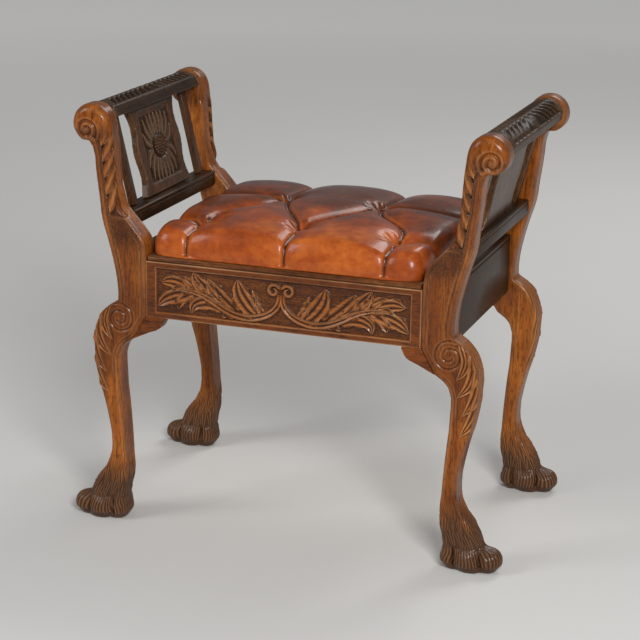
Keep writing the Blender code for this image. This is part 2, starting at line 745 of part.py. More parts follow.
def add_glue_blocks(low):
    """Triangular blocks glued in the inner corners of front and back aprons and posts."""
    high = SEAT_RAIL_TOP - BATTEN_HEIGHT
    for end, front in (("front", -1), ("back", 1)):
        for hand, side in (("left", -1), ("right", 1)):
            name = f"{end}_{hand}_glue_block"
            corner = Vector((side * (POST_INNER - FIT), front * (APRON_INNER - FIT)))
            points = [
                tuple(corner),
                (corner.x - side * BLOCK_LEG, corner.y),
                (corner.x, corner.y - front * BLOCK_LEG),
            ]
            block = link(name, poly_prism(name, points, high - low), PINE)
            block.location = (0.0, 0.0, (low + high) / 2)


def lid_axis():
    """The empty on the hinge line that carries every piece of the lid."""
    axis = bpy.data.objects.new("lid_hinge_axis", None)
    axis.location = (0.0, HINGE_Y, HINGE_Z)
    PARTS.objects.link(axis)
    return axis


def hang(item, axis):
    """Parent a piece to the hinge axis where it stands."""
    item.parent = axis
    item.location = item.location - axis.location


def add_lid(axis):
    """Lid board with its front moulding, and the battens that keep it flat."""
    front = -APRON_FACE + MOULDING_DEPTH
    lid = box("lid_board", (-LID_HALF, front + FIT, LID_BOTTOM), (LID_HALF, APRON_FACE, LID_TOP), OAK)
    for hand, centre_x in hinge_places():
        recess = leaf_recess(
            f"{hand}_lid_recess", centre_x, HINGE_Z - LEAF_THICKNESS, HINGE_Z + LEAF_THICKNESS + FIT
        )
        boolean(lid, recess, "DIFFERENCE")
    moulding = box(
        "lid_front_moulding",
        (-LID_HALF, front - MOULDING_DEPTH, LID_BOTTOM),
        (LID_HALF, front, LID_TOP),
        OAK,
        MOULDING_DEPTH * 0.4,
    )
    pieces = [lid, moulding]
    reach = APRON_INNER - BATTEN_END_CLEARANCE
    for hand, side in (("left", -1), ("right", 1)):
        middle = side * BATTEN_OFFSET
        batten = box(
            f"{hand}_lid_batten",
            (middle - BATTEN_WIDTH / 2, -reach, LID_BOTTOM - FIT - BATTEN_HEIGHT),
            (middle + BATTEN_WIDTH / 2, reach, LID_BOTTOM - FIT),
            PINE,
            ARRIS / 2,
        )
        pieces.append(batten)
    for item in pieces:
        hang(item, axis)


def button_places():
    """Plan places of the five buttons: three in the front row and two between them behind."""
    front = [Vector((step * BUTTON_PITCH_X, BUTTON_FRONT_ROW)) for step in (-1, 0, 1)]
    back = [
        Vector((step * BUTTON_PITCH_X / 2, BUTTON_FRONT_ROW + BUTTON_PITCH_Y)) for step in (-1, 1)
    ]
    return front + back


def pleat_lines():
    """Plan lines of the pleats: diagonals between buttons and runs out to the edges."""
    buttons = button_places()
    step = Vector((BUTTON_PITCH_X / 2, BUTTON_PITCH_Y))
    mirror = Vector((-BUTTON_PITCH_X / 2, BUTTON_PITCH_Y))
    lines = [(buttons[0], buttons[3]), (buttons[1], buttons[3]), (buttons[1], buttons[4])]
    lines.append((buttons[2], buttons[4]))
    for button in buttons[:3]:
        lines.append((button, Vector((button.x, -FRAME_DEPTH))))
    for button in buttons[3:]:
        lines.append((button, button + step))
        lines.append((button, button + mirror))
    lines.append((buttons[0], Vector((-FRAME_WIDTH, BUTTON_FRONT_ROW))))
    lines.append((buttons[2], Vector((FRAME_WIDTH, BUTTON_FRONT_ROW))))
    return lines


def distance_to_line(point, start, end):
    """Distance in plan from a point to a stretch of line."""
    run = end - start
    share = max(0.0, min(1.0, (point - start).dot(run) / run.length_squared))
    return (point - start - run * share).length


def tuft_drop(point):
    """How far buttons and pleats pull the leather down at a plan point."""
    drop = 0.0
    for button in button_places():
        away = (point - button).length / TUFT_RADIUS
        drop = max(drop, TUFT_DEPTH * math.exp(-away * away))
    for start, end in pleat_lines():
        away = distance_to_line(point, start, end) / PLEAT_RADIUS
        drop = max(drop, PLEAT_DEPTH * math.exp(-away * away))
    return drop


def cushion_half():
    """Half width and half depth of the cushion where it meets the lid."""
    return LID_HALF - CUSHION_INSET, APRON_FACE - CUSHION_INSET


def cushion_point(across, along):
    """Place of a cover point, from -1 to 1 each way; the outer rings of the grid make the sides."""
    half_x, half_y = cushion_half()
    ring = max(abs(across), abs(along))
    turn = max(0.0, (ring - COVER_TOP_SHARE) / (1.0 - COVER_TOP_SHARE)) * COVER_SIDE_TURN
    flat = COVER_SHOULDER_SHARE * min(ring / COVER_TOP_SHARE, 1.0)
    spread = flat + (1.0 - COVER_SHOULDER_SHARE) * math.sin(turn)
    corner = (abs(across) ** COVER_SQUARENESS + abs(along) ** COVER_SQUARENESS) ** (1.0 / COVER_SQUARENESS)
    share = spread / corner if corner > 0.0 else 0.0
    plan = Vector((across * share * half_x, along * share * half_y))
    middle_x = 1.0 - (plan.y / half_y) ** 2
    plan.x *= 1.0 + max(0.0, middle_x) * CUSHION_BULGE / half_x * spread
    dome = (1.0 - (plan.x / half_x) ** 2) * (1.0 - (plan.y / half_y) ** 2)
    top = CUSHION_SHOULDER + CUSHION_CROWN * math.sqrt(max(0.0, dome)) - tuft_drop(plan)
    drawn_in = math.cos(COVER_SIDE_TURN)
    rise = (math.cos(turn) - drawn_in) / (1.0 - drawn_in)
    return Vector((plan.x, plan.y, LID_TOP + FIT + top * rise))


def add_cover(axis):
    """Deep-buttoned leather cover: a crowned grid, closed underneath and hollowed for the stuffing."""
    bm = bmesh.new()
    bmesh.ops.create_grid(bm, x_segments=CUSHION_COLUMNS, y_segments=CUSHION_ROWS, size=1.0)
    for vert in bm.verts:
        vert.co = cushion_point(vert.co.x, vert.co.y)
    rim = [edge for edge in bm.edges if edge.is_boundary]
    bmesh.ops.contextual_create(bm, geom=rim)
    cover = link("leather_cover", mesh_from("leather_cover", bm), LEATHER)
    half_x, half_y = cushion_half()
    low = LID_TOP + FIT
    pocket = box(
        "stuffing_pocket",
        (-half_x + STUFFING_INSET, -half_y + STUFFING_INSET, low - STUFFING_HEIGHT),
        (half_x - STUFFING_INSET, half_y - STUFFING_INSET, low + STUFFING_HEIGHT),
        None,
        collection=CUTTERS,
    )
    boolean(cover, pocket, "DIFFERENCE")
    stuffing = box(
        "stuffing_pad",
        (-half_x + STUFFING_INSET + FIT, -half_y + STUFFING_INSET + FIT, low),
        (half_x - STUFFING_INSET - FIT, half_y - STUFFING_INSET - FIT, low + STUFFING_HEIGHT - FIT),
        HORSEHAIR,
        ARRIS,
    )
    graph = bpy.context.evaluated_depsgraph_get()
    surface = BVHTree.FromObject(cover, graph)
    rests = [button_rest(surface, cover.matrix_world, place) for place in button_places()]
    hang(cover, axis)
    hang(stuffing, axis)
    return rests


def button_rest(surface, place_matrix, place):
    """Height at which a button's centre sits clear of the leather round its tuft."""
    high = TOTAL_HEIGHT
    rest = 0.0
    for ring in range(BUTTON_RINGS + 1):
        reach = ring / BUTTON_RINGS
        underside = BUTTON_HEIGHT / 2 * math.sqrt(max(0.0, 1.0 - reach * reach))
        for spoke in range(BUTTON_SIDES):
            angle = math.tau * spoke / BUTTON_SIDES
            offset = Vector((math.cos(angle), math.sin(angle))) * reach * BUTTON_RADIUS
            start = Vector((place.x + offset.x, place.y + offset.y, high))
            hit = surface.ray_cast(place_matrix.inverted() @ start, Vector((0.0, 0.0, -1.0)))[0]
            rest = max(rest, (place_matrix @ hit).z + underside)
    return rest + 2 * FIT


def button_mesh():
    """A low domed button: a flattened ball."""
    bm = bmesh.new()
    bmesh.ops.create_uvsphere(bm, u_segments=BUTTON_SIDES, v_segments=BUTTON_RINGS, radius=1.0)
    bmesh.ops.scale(bm, vec=(BUTTON_RADIUS, BUTTON_RADIUS, BUTTON_HEIGHT / 2), verts=bm.verts)
    return mesh_from("button", bm)


def add_buttons(axis, rests):
    """Five buttons, one seated in each tuft."""
    mesh = button_mesh()
    for index, (place, rest) in enumerate(zip(button_places(), rests), start=1):
        item = link(f"seat_button_{index}", mesh, LEATHER)
        item.location = (place.x, place.y, rest)
        hang(item, axis)


def barrel(name, start_x, end_x, radius):
    """A hinge knuckle or pin along the hinge line."""
    bm = bmesh.new()
    length = end_x - start_x
    middle = Vector(((start_x + end_x) / 2, HINGE_Y, HINGE_Z))
    place = Matrix.Translation(middle) @ Matrix.Rotation(math.radians(90.0), 4, "Y")
    bmesh.ops.create_cone(
        bm,
        cap_ends=True,
        segments=KNUCKLE_SIDES,
        radius1=radius,
        radius2=radius,
        depth=length,
        matrix=place,
    )
    return mesh_from(name, bm)


def hinge_leaf(name, centre_x, knuckles, low_z, high_z, material):
    """A leaf with its own knuckles, bored for the pin."""
    rear = HINGE_Y - KNUCKLE_RADIUS - FIT
    leaf = box(
        name,
        (centre_x - HINGE_LENGTH / 2, HINGE_Y - KNUCKLE_RADIUS - LEAF_WIDTH, low_z),
        (centre_x + HINGE_LENGTH / 2, rear, high_z),
        material,
    )
    for index, (start, end) in enumerate(knuckles):
        tab = box(
            f"{name}_tab_{index}",
            (start, rear - LEAF_THICKNESS, low_z),
            (end, HINGE_Y - KNUCKLE_RADIUS / 2, high_z),
            None,
            collection=CUTTERS,
        )
        boolean(leaf, tab, "UNION")
        knuckle = link(f"{name}_knuckle_{index}", barrel(name, start, end, KNUCKLE_RADIUS), None, CUTTERS)
        boolean(leaf, knuckle, "UNION")
    overrun = HINGE_LENGTH
    bore = barrel(name + "_bore", centre_x - overrun, centre_x + overrun, PIN_RADIUS + FIT)
    boolean(leaf, link(name + "_bore", bore, None, CUTTERS), "DIFFERENCE")
    return leaf


def add_hinges(axis):
    """Two butt hinges: fixed leaf on the back apron, lid leaf under the lid, and a loose pin."""
    for hand, centre_x in hinge_places():
        third = HINGE_LENGTH / 3
        start = centre_x - HINGE_LENGTH / 2
        stops = [start + third * step for step in range(4)]
        outer = [(stops[0], stops[1] - FIT), (stops[2] + FIT, stops[3])]
        middle = [(stops[1], stops[2])]
        low = HINGE_Z - LEAF_THICKNESS
        high = HINGE_Z + LEAF_THICKNESS
        hinge_leaf(f"{hand}_hinge_fixed_leaf", centre_x, outer, low, HINGE_Z - FIT / 2, BRASS)
        lid_leaf = hinge_leaf(f"{hand}_hinge_lid_leaf", centre_x, middle, HINGE_Z + FIT / 2, high, BRASS)
        hang(lid_leaf, axis)
        pin = barrel(f"{hand}_hinge_pin", stops[0], stops[3], PIN_RADIUS)
        link(f"{hand}_hinge_pin", pin, BRASS)


def main():
    """Build every piece of the seat."""
    add_leg_posts()
    add_aprons()
    add_ear_brackets()
    add_arm_rails()
    add_arm_infill()
    add_box()
    axis = lid_axis()
    add_lid(axis)
    rests = add_cover(axis)
    add_buttons(axis, rests)
    add_hinges(axis)


main()
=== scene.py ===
"""Carved oak window seat with a buttoned leather lid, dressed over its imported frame.

Lengths are metres, +Z is up and the seat faces -Y. Each class below is one
sub-assembly: it builds its meshes, dresses them and hands them to the frame.
"""

import logging
import math
from collections.abc import Callable, Iterator, Sequence
from contextlib import contextmanager
from dataclasses import dataclass
from enum import Enum

import bmesh
import bpy
import numpy as np
from mathutils import Matrix, Vector
from mathutils.kdtree import KDTree

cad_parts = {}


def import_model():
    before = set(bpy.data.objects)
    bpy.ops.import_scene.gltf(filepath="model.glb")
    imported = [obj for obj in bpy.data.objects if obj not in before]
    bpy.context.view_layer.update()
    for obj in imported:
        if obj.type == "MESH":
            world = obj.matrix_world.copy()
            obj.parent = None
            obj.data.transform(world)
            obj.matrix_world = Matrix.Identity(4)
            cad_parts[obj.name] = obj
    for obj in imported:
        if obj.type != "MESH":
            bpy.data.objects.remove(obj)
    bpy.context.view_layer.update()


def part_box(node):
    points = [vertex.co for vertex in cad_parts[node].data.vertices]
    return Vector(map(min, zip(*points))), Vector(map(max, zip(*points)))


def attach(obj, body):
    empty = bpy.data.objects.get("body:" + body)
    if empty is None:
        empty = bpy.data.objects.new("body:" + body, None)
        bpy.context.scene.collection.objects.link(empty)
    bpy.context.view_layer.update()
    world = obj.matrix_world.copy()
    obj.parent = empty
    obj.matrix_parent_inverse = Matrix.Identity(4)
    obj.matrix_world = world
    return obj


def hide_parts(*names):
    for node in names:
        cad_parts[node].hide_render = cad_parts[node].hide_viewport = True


LOG = logging.getLogger("window_seat")
SIDES = ("left", "right")
CORNERS = ("front_left", "front_right", "back_left", "back_right")

Array = np.ndarray
Mesh = bpy.types.Mesh
Item = bpy.types.Object
Socket = bpy.types.NodeSocket
Colour = tuple[float, float, float]
Point = tuple[float, float]
Span = tuple[float, float]
Place = tuple[float, float, float]
Spiral = tuple[float, float, float, float]
Feeds = dict[str | int, object]


class Body(Enum):
    """The bodies that pieces ride on."""

    FRAME = "frame"
    LID = "lid"


class Slot(Enum):
    """Names of the finishes."""

    OAK = "polished_oak"
    PINE = "box_pine"
    LEATHER = "tan_leather"
    BRASS = "aged_brass"


class Grain(Enum):
    """The axis along which the wood's grain runs."""

    WIDE = 0
    DEEP = 1
    UPRIGHT = 2


# Number helpers

SPIRAL_STEPS = 40


def ease(low: float, high: float, values: Array) -> Array:
    """Rise smoothly from 0 at low to 1 at high."""
    share = np.clip((values - low) / (high - low), 0.0, 1.0)
    return share * share * (3.0 - 2.0 * share)


def within(low: float, high: float, soft: float, values: Array) -> Array:
    """1 between low and high, fading to 0 over soft outside them."""
    return ease(low - soft, low, values) * (1.0 - ease(high, high + soft, values))


def bell(values: Array, spread: float) -> Array:
    """A bell curve that is 1 where values are 0."""
    return np.exp(-((values / spread) ** 2))


def bent_path(points: Sequence[Point], steps: int = 10) -> Array:
    """Run a smooth curve through points.

    Args:
        points: Places on the curve, in order.
        steps: Short straight steps between two places.

    Returns:
        The curve's places as an array of rows.
    """
    knots = np.array(points, dtype=float)
    padded = np.vstack([2 * knots[0] - knots[1], knots, 2 * knots[-1] - knots[-2]])
    share = np.linspace(0.0, 1.0, steps, endpoint=False)[:, None]
    runs = []
    for before, start, end, after in zip(padded, padded[1:], padded[2:], padded[3:]):
        linear = (end - before) * share
        square = (2 * before - 5 * start + 4 * end - after) * share**2
        cube = (3 * start - before - 3 * end + after) * share**3
        runs.append(0.5 * (2 * start + linear + square + cube))
    return np.vstack([*runs, knots[-1:]])


def spiral_path(eye: Point, outer: float, inner: float, turns: float, start: float, hand: int) -> Array:
    """Wind a flat spiral in to its eye.

    Args:
        eye: Centre of the spiral.
        outer: Radius where it starts.
        inner: Radius where it ends.
        turns: Number of turns.
        start: Angle of the start, in degrees.
        hand: 1 to wind anticlockwise, -1 clockwise.

    Returns:
        The spiral's places as an array of rows.
    """
    share = np.linspace(0.0, 1.0, int(SPIRAL_STEPS * turns))
    radius = outer + (inner - outer) * share
    angle = math.radians(start) + hand * share * turns * math.tau
    return np.column_stack([eye[0] + radius * np.cos(angle), eye[1] + radius * np.sin(angle)])


def near_path(places: Array, path: Array) -> tuple[Array, Array, Array]:
    """Measure places against a path.

    Args:
        places: Flat places, one in a row.
        path: The path's places, in order.

    Returns:
        Distance to the path, share of the path's length there, and side (+1 left, -1 right).
    """
    lengths = np.linalg.norm(np.diff(path, axis=0), axis=1)
    run = np.concatenate([[0.0], np.cumsum(lengths)])
    best = np.full(len(places), np.inf)
    share = np.zeros(len(places))
    side = np.zeros(len(places))
    for start, end, length, before in zip(path, path[1:], lengths, run):
        step = (end - start) / length
        gap = places - start
        along = np.clip(gap @ step, 0.0, length)
        off = gap - along[:, None] * step
        distance = np.hypot(off[:, 0], off[:, 1])
        nearer = distance < best
        best = np.where(nearer, distance, best)
        share = np.where(nearer, (before + along) / run[-1], share)
        side = np.where(nearer, np.sign(step[0] * gap[:, 1] - step[1] * gap[:, 0]), side)
    return best, share, side


# Mesh helpers

WELD = 1e-6
FLAT_ANGLE = math.radians(1.0)
ARRIS_ANGLE = math.radians(28.0)
HARD_ANGLE = math.radians(40.0)


@contextmanager
def editing(mesh: Mesh) -> Iterator[bmesh.types.BMesh]:
    """Open a mesh for editing and write it back at the end.

    Args:
        mesh: The mesh, which is changed.

    Yields:
        The mesh's editable form.
    """
    bm = bmesh.new()
    bm.from_mesh(mesh)
    yield bm
    bm.to_mesh(mesh)
    bm.free()


def finished(name: str, bm: bmesh.types.BMesh) -> Mesh:
    """Make a mesh from its editable form, which is freed.

    Args:
        name: Name of the mesh.
        bm: The editable form.

    Returns:
        The new mesh.
    """
    mesh = bpy.data.meshes.new(name)
    bm.to_mesh(mesh)
    bm.free()
    return mesh


def close_rim(bm: bmesh.types.BMesh) -> None:
    """Close the open rim of an editable mesh with one face, and turn its faces out."""
    bmesh.ops.contextual_create(bm, geom=[edge for edge in bm.edges if edge.is_boundary])
    bmesh.ops.recalc_face_normals(bm, faces=bm.faces)


def add_object(name: str, data: bpy.types.ID) -> Item:
    """Put a mesh, light or camera in the scene under a name.

    Args:
        name: Name of the object.
        data: What it shows.

    Returns:
        The new object.
    """
    item = bpy.data.objects.new(name, data)
    bpy.context.scene.collection.objects.link(item)
    return item


def settle(item: Item, name: str) -> Mesh:
    """Apply an object's modifiers and remove the object.

    Args:
        item: The object with its modifiers.
        name: Name of the new mesh.

    Returns:
        The plain mesh that the modifiers gave.
    """
    graph = bpy.context.evaluated_depsgraph_get()
    mesh = bpy.data.meshes.new_from_object(item.evaluated_get(graph))
    mesh.name = name
    bpy.data.objects.remove(item, do_unlink=True)
    return mesh


def merged_copy(node: str) -> Mesh:
    """A copy of a CAD node's mesh with its loose triangles joined.

    Args:
        node: Name of the CAD node.

    Returns:
        The joined mesh.
    """
    bm = bmesh.new()
    bm.from_mesh(bpy.data.objects[node].data)
    bmesh.ops.remove_doubles(bm, verts=bm.verts, dist=WELD)
    return finished(node + "_copy", bm)


def eased_copy(node: str, edge: float) -> Mesh:
    """A copy of a CAD node with its arrises worn round.

    Args:
        node: Name of the CAD node.
        edge: Width of the worn arris.

    Returns:
        The worn mesh, smooth apart from its hard edges.
    """
    mesh = merged_copy(node)
    with editing(mesh) as bm:
        bmesh.ops.dissolve_limit(bm, angle_limit=FLAT_ANGLE, verts=bm.verts, edges=bm.edges)
    item = add_object(node + "_worn", mesh)
    bevel = item.modifiers.new("arris", "BEVEL")
    bevel.width = edge
    bevel.segments = 2
    bevel.limit_method = "ANGLE"
    bevel.angle_limit = ARRIS_ANGLE
    worn = settle(item, node + "_worn")
    worn.shade_smooth()
    worn.set_sharp_from_angle(angle=HARD_ANGLE)
    return worn


def remeshed_copy(node: str, voxel: float) -> Mesh:
    """A CAD node as an even skin of small squares, ready to carve.

    Args:
        node: Name of the CAD node.
        voxel: Size of the squares.

    Returns:
        The even mesh.
    """
    item = add_object(node + "_even", merged_copy(node))
    remesh = item.modifiers.new("even", "REMESH")
    remesh.mode = "VOXEL"
    remesh.voxel_size = voxel
    remesh.adaptivity = 0.0
    return settle(item, node + "_even")


def refine(mesh: Mesh, wanted: Callable[[Vector], bool]) -> None:
    """Split the faces of a mesh in four where the carving is fine.

    Args:
        mesh: The mesh to split.
        wanted: Says from a face's middle whether it is split.
    """
    with editing(mesh) as bm:
        fine = (face for face in bm.faces if wanted(face.calc_center_median()))
        edges = dict.fromkeys(edge for face in fine for edge in face.edges)
        bmesh.ops.subdivide_edges(bm, edges=list(edges), cuts=1, use_grid_fill=True)


def turned_copy(mesh: Mesh, name: str, change: Matrix) -> Mesh:
    """A mirrored or turned copy of a mesh with its faces pointing out.

    Args:
        mesh: The mesh to copy.
        name: Name of the copy.
        change: The mirror or turn.

    Returns:
        The new mesh.
    """
    copy = mesh.copy()
    copy.name = name
    copy.transform(change)
    if change.determinant() < 0.0:
        copy.flip_normals()
    copy.update()
    return copy


MIRROR_X = Matrix.Diagonal((-1.0, 1.0, 1.0, 1.0))
HALF_TURN = Matrix.Rotation(math.pi, 4, "Z")


class Skin:
    """The points of a mesh as arrays, so that a rule can move many at once."""

    def __init__(self, mesh: Mesh) -> None:
        """Read a mesh's points and edges.

        Args:
            mesh: The mesh to read, and to write back to.
        """
        self.mesh = mesh
        self.places = self._read(mesh.vertices, "co")
        ends = np.empty(len(mesh.edges) * 2, dtype=np.int32)
        mesh.edges.foreach_get("vertices", ends)
        self.ends = ends.reshape(-1, 2)
        self.normals = self._read(mesh.vertices, "normal")

    def _read(self, source: bpy.types.bpy_prop_collection, name: str) -> Array:
        """Read a vector of each point as rows.

        Args:
            source: The points.
            name: Name of the vector.

        Returns:
            The vectors, one in a row.
        """
        values = np.empty(len(source) * 3)
        source.foreach_get(name, values)
        return values.reshape(-1, 3)

    def write(self) -> None:
        """Put the points back in the mesh and read the new normals."""
        self.mesh.vertices.foreach_set("co", self.places.ravel())
        self.mesh.update()
        self.normals = self._read(self.mesh.vertices, "normal")

    def neighbour_mean(self, values: Array) -> Array:
        """Mean of each point's neighbours.

        Args:
            values: One number for each point.

        Returns:
            The means, one for each point.
        """
        count = len(self.places)
        first, second = self.ends.T
        total = np.bincount(first, values[second], count) + np.bincount(second, values[first], count)
        number = np.bincount(first, minlength=count) + np.bincount(second, minlength=count)
        return total / np.maximum(number, 1)

    def relax(self, passes: int, where: Array | float = 1.0) -> None:
        """Smooth the points by moving them towards their neighbours.

        Args:
            passes: Number of times they move.
            where: Share of the move that each point makes.
        """
        for _ in range(passes):
            for axis in range(3):
                mean = self.neighbour_mean(self.places[:, axis])
                self.places[:, axis] += 0.5 * where * (mean - self.places[:, axis])
        self.write()

    def push(self, height: Array) -> None:
        """Move each point along its normal."""
        self.places += self.normals * height[:, None]
        self.write()

    def mark(self, name: str, values: Array) -> None:
        """Keep a number for each point as a named attribute."""
        layer = self.mesh.attributes.get(name) or self.mesh.attributes.new(name, "FLOAT", "POINT")
        layer.data.foreach_set("value", values.astype(np.float32))

    def weather(
        self,
        gain: float,
        passes: int = 2,
        rims: Array | float = 0.0,
        grooves: Array | float = 0.0,
    ) -> None:
        """Mark hollows that darken and ridges that lighten: old polish in the wood, painted shade in the
        leather's creases, and wear with painted highlight on ridges and rims.

        Args:
            gain: How strongly the shape shows.
            passes: How far the marks spread.
            rims: Least share of lightening at each point: pale rims, partly wear and partly painted
                highlight.
            grooves: Least share of hollow at each point.
        """
        step = self.places[self.ends[:, 0]] - self.places[self.ends[:, 1]]
        edge = np.linalg.norm(step, axis=1).mean()
        mean = np.column_stack([self.neighbour_mean(self.places[:, axis]) for axis in range(3)])
        hollow = ((mean - self.places) * self.normals).sum(axis=1) / edge
        for _ in range(passes):
            hollow = 0.4 * hollow + 0.6 * self.neighbour_mean(hollow)
        self.mark("hollow", np.maximum(np.clip(hollow * gain, 0.0, 1.0), grooves))
        self.mark("rubbed", np.maximum(np.clip(-hollow * gain, 0.0, 1.0), rims))


# Finishes


class Graph:
    """A material's nodes, with short ways to add and join them."""

    def __init__(self, name: str) -> None:
        """Start a material with one shader.

        Args:
            name: Name of the material.
        """
        self.material = bpy.data.materials.new(name)
        self.material.use_nodes = True
        self.tree = self.material.node_tree
        self.shader = self.tree.nodes["Principled BSDF"]
        self.coordinates = self.add("TexCoord").outputs["Object"]

    def add(self, kind: str, feeds: Feeds | None = None, **settings: object) -> bpy.types.Node:
        """Add a node, set its options and feed its inputs.

        Args:
            kind: Name of the node's type after its common start.
            feeds: Sockets or plain values by input.
            settings: Options by name.

        Returns:
            The new node.
        """
        node = self.tree.nodes.new("ShaderNode" + kind)
        for key, value in settings.items():
            setattr(node, key, value)
        for key, value in (feeds or {}).items():
            self.feed(node.inputs[key], value)
        return node

    def feed(self, socket: Socket, value: object) -> None:
        """Join a socket to another, or set its value.

        Args:
            socket: The input to feed.
            value: An output socket or a plain value.
        """
        if isinstance(value, Socket):
            self.tree.links.new(value, socket)
        else:
            socket.default_value = value

    def paint(self, name: str, value: object) -> None:
        """Feed one of the shader's own inputs."""
        self.feed(self.shader.inputs[name], value)

    def axis(self, letter: str) -> Socket:
        """One of the object coordinates, by its letter."""
        return self.add("SeparateXYZ", {0: self.coordinates}).outputs[letter]

    def stretched(self, scale: Sequence[float]) -> Socket:
        """Object coordinates with a scale along each axis."""
        return self.add("Mapping", {"Vector": self.coordinates, "Scale": scale}).outputs["Vector"]

    def noise(self, place: object, scale: float, detail: float, rough: float = 0.55) -> Socket:
        """A cloudy pattern: clouds in a metre, then number and strength of its finer layers."""
        feeds = {"Vector": place, "Scale": scale, "Detail": detail, "Roughness": rough}
        return self.add("TexNoise", feeds).outputs[0]

    def cells(self, scale: float) -> Socket:
        """Distance to the nearest of points scattered so many to a metre."""
        return self.add("TexVoronoi", {"Vector": self.coordinates, "Scale": scale}).outputs["Distance"]

    def sum(self, operation: str, first: object, second: object = 0.0) -> Socket:
        """Work out a number from one or two others."""
        return self.add("Math", {0: first, 1: second}, operation=operation).outputs[0]

    def scaled(self, value: object, share: object) -> Socket:
        """Multiply two numbers."""
        return self.sum("MULTIPLY", value, share)

    def weighted(self, *terms: tuple[object, float]) -> Socket:
        """Add up values, each times its weight.

        Args:
            terms: The values and their weights.

        Returns:
            The total.
        """
        total, *others = [self.scaled(value, weight) for value, weight in terms]
        for other in others:
            total = self.sum("ADD", total, other)
        return total

    def spread(self, value: object, low: float, high: float, start: float, end: float) -> Socket:
        """Move a value from one range to another: low becomes start and high becomes end."""
        feeds = {"Value": value, "From Min": low, "From Max": high, "To Min": start, "To Max": end}
        return self.add("MapRange", feeds).outputs[0]

    def mix(self, share: object, first: object, second: object) -> Socket:
        """Mix two colours.

        Args:
            share: Share of the second colour.
            first: A socket or a colour.
            second: A socket or a colour.

        Returns:
            The mixed colour.
        """
        node = self.add("Mix", {0: share}, data_type="RGBA")
        for socket, value in ((node.inputs[6], first), (node.inputs[7], second)):
            self.feed(socket, value if isinstance(value, Socket) else (*value, 1.0))
        return node.outputs[2]

    def ramp(self, value: object, stops: Sequence[tuple[float, Colour]]) -> Socket:
        """Turn a value into colours.

        Args:
            value: The value, from 0 to 1.
            stops: Places and colours along the ramp.

        Returns:
            The colour.
        """
        node = self.add("ValToRGB", {0: value})
        points = node.color_ramp.elements
        while len(points) < len(stops):
            points.new(0.5)
        for point, (place, colour) in zip(points, stops):
            point.position = place
            point.color = (*colour, 1.0)
        return node.outputs["Color"]

    def mark(self, name: str) -> Socket:
        """Read a number that the mesh keeps at each point."""
        return self.add("Attribute", attribute_name=name).outputs["Fac"]

    def bump(self, height: object, strength: float, distance: float) -> None:
        """Give the shader a bump from a height, up to a distance at full strength."""
        node = self.add("Bump", {"Height": height, "Strength": strength, "Distance": distance})
        self.paint("Normal", node.outputs["Normal"])

    def gloss(self, coat: float, coat_rough: float, specular: float) -> None:
        """Set the polish, which is the same all over.

        Args:
            coat: Weight of the clear coat.
            coat_rough: Its roughness.
            specular: Shine under the coat.
        """
        self.paint("Coat Weight", coat)
        self.paint("Coat Roughness", coat_rough)
        self.paint("Specular IOR Level", specular)


@dataclass(frozen=True)
class Finish:
    """A finish whose material is made once, at its first use."""

    name: str

    def material(self) -> bpy.types.Material:
        """Find the finish's material, or make it.

        Returns:
            The material.
        """
        known = bpy.data.materials.get(self.name)
        if known is not None:
            return known
        graph = Graph(self.name)
        self.lay(graph)
        return graph.material

    def lay(self, graph: Graph) -> None:
        """Lay the finish's own nodes."""
        raise NotImplementedError


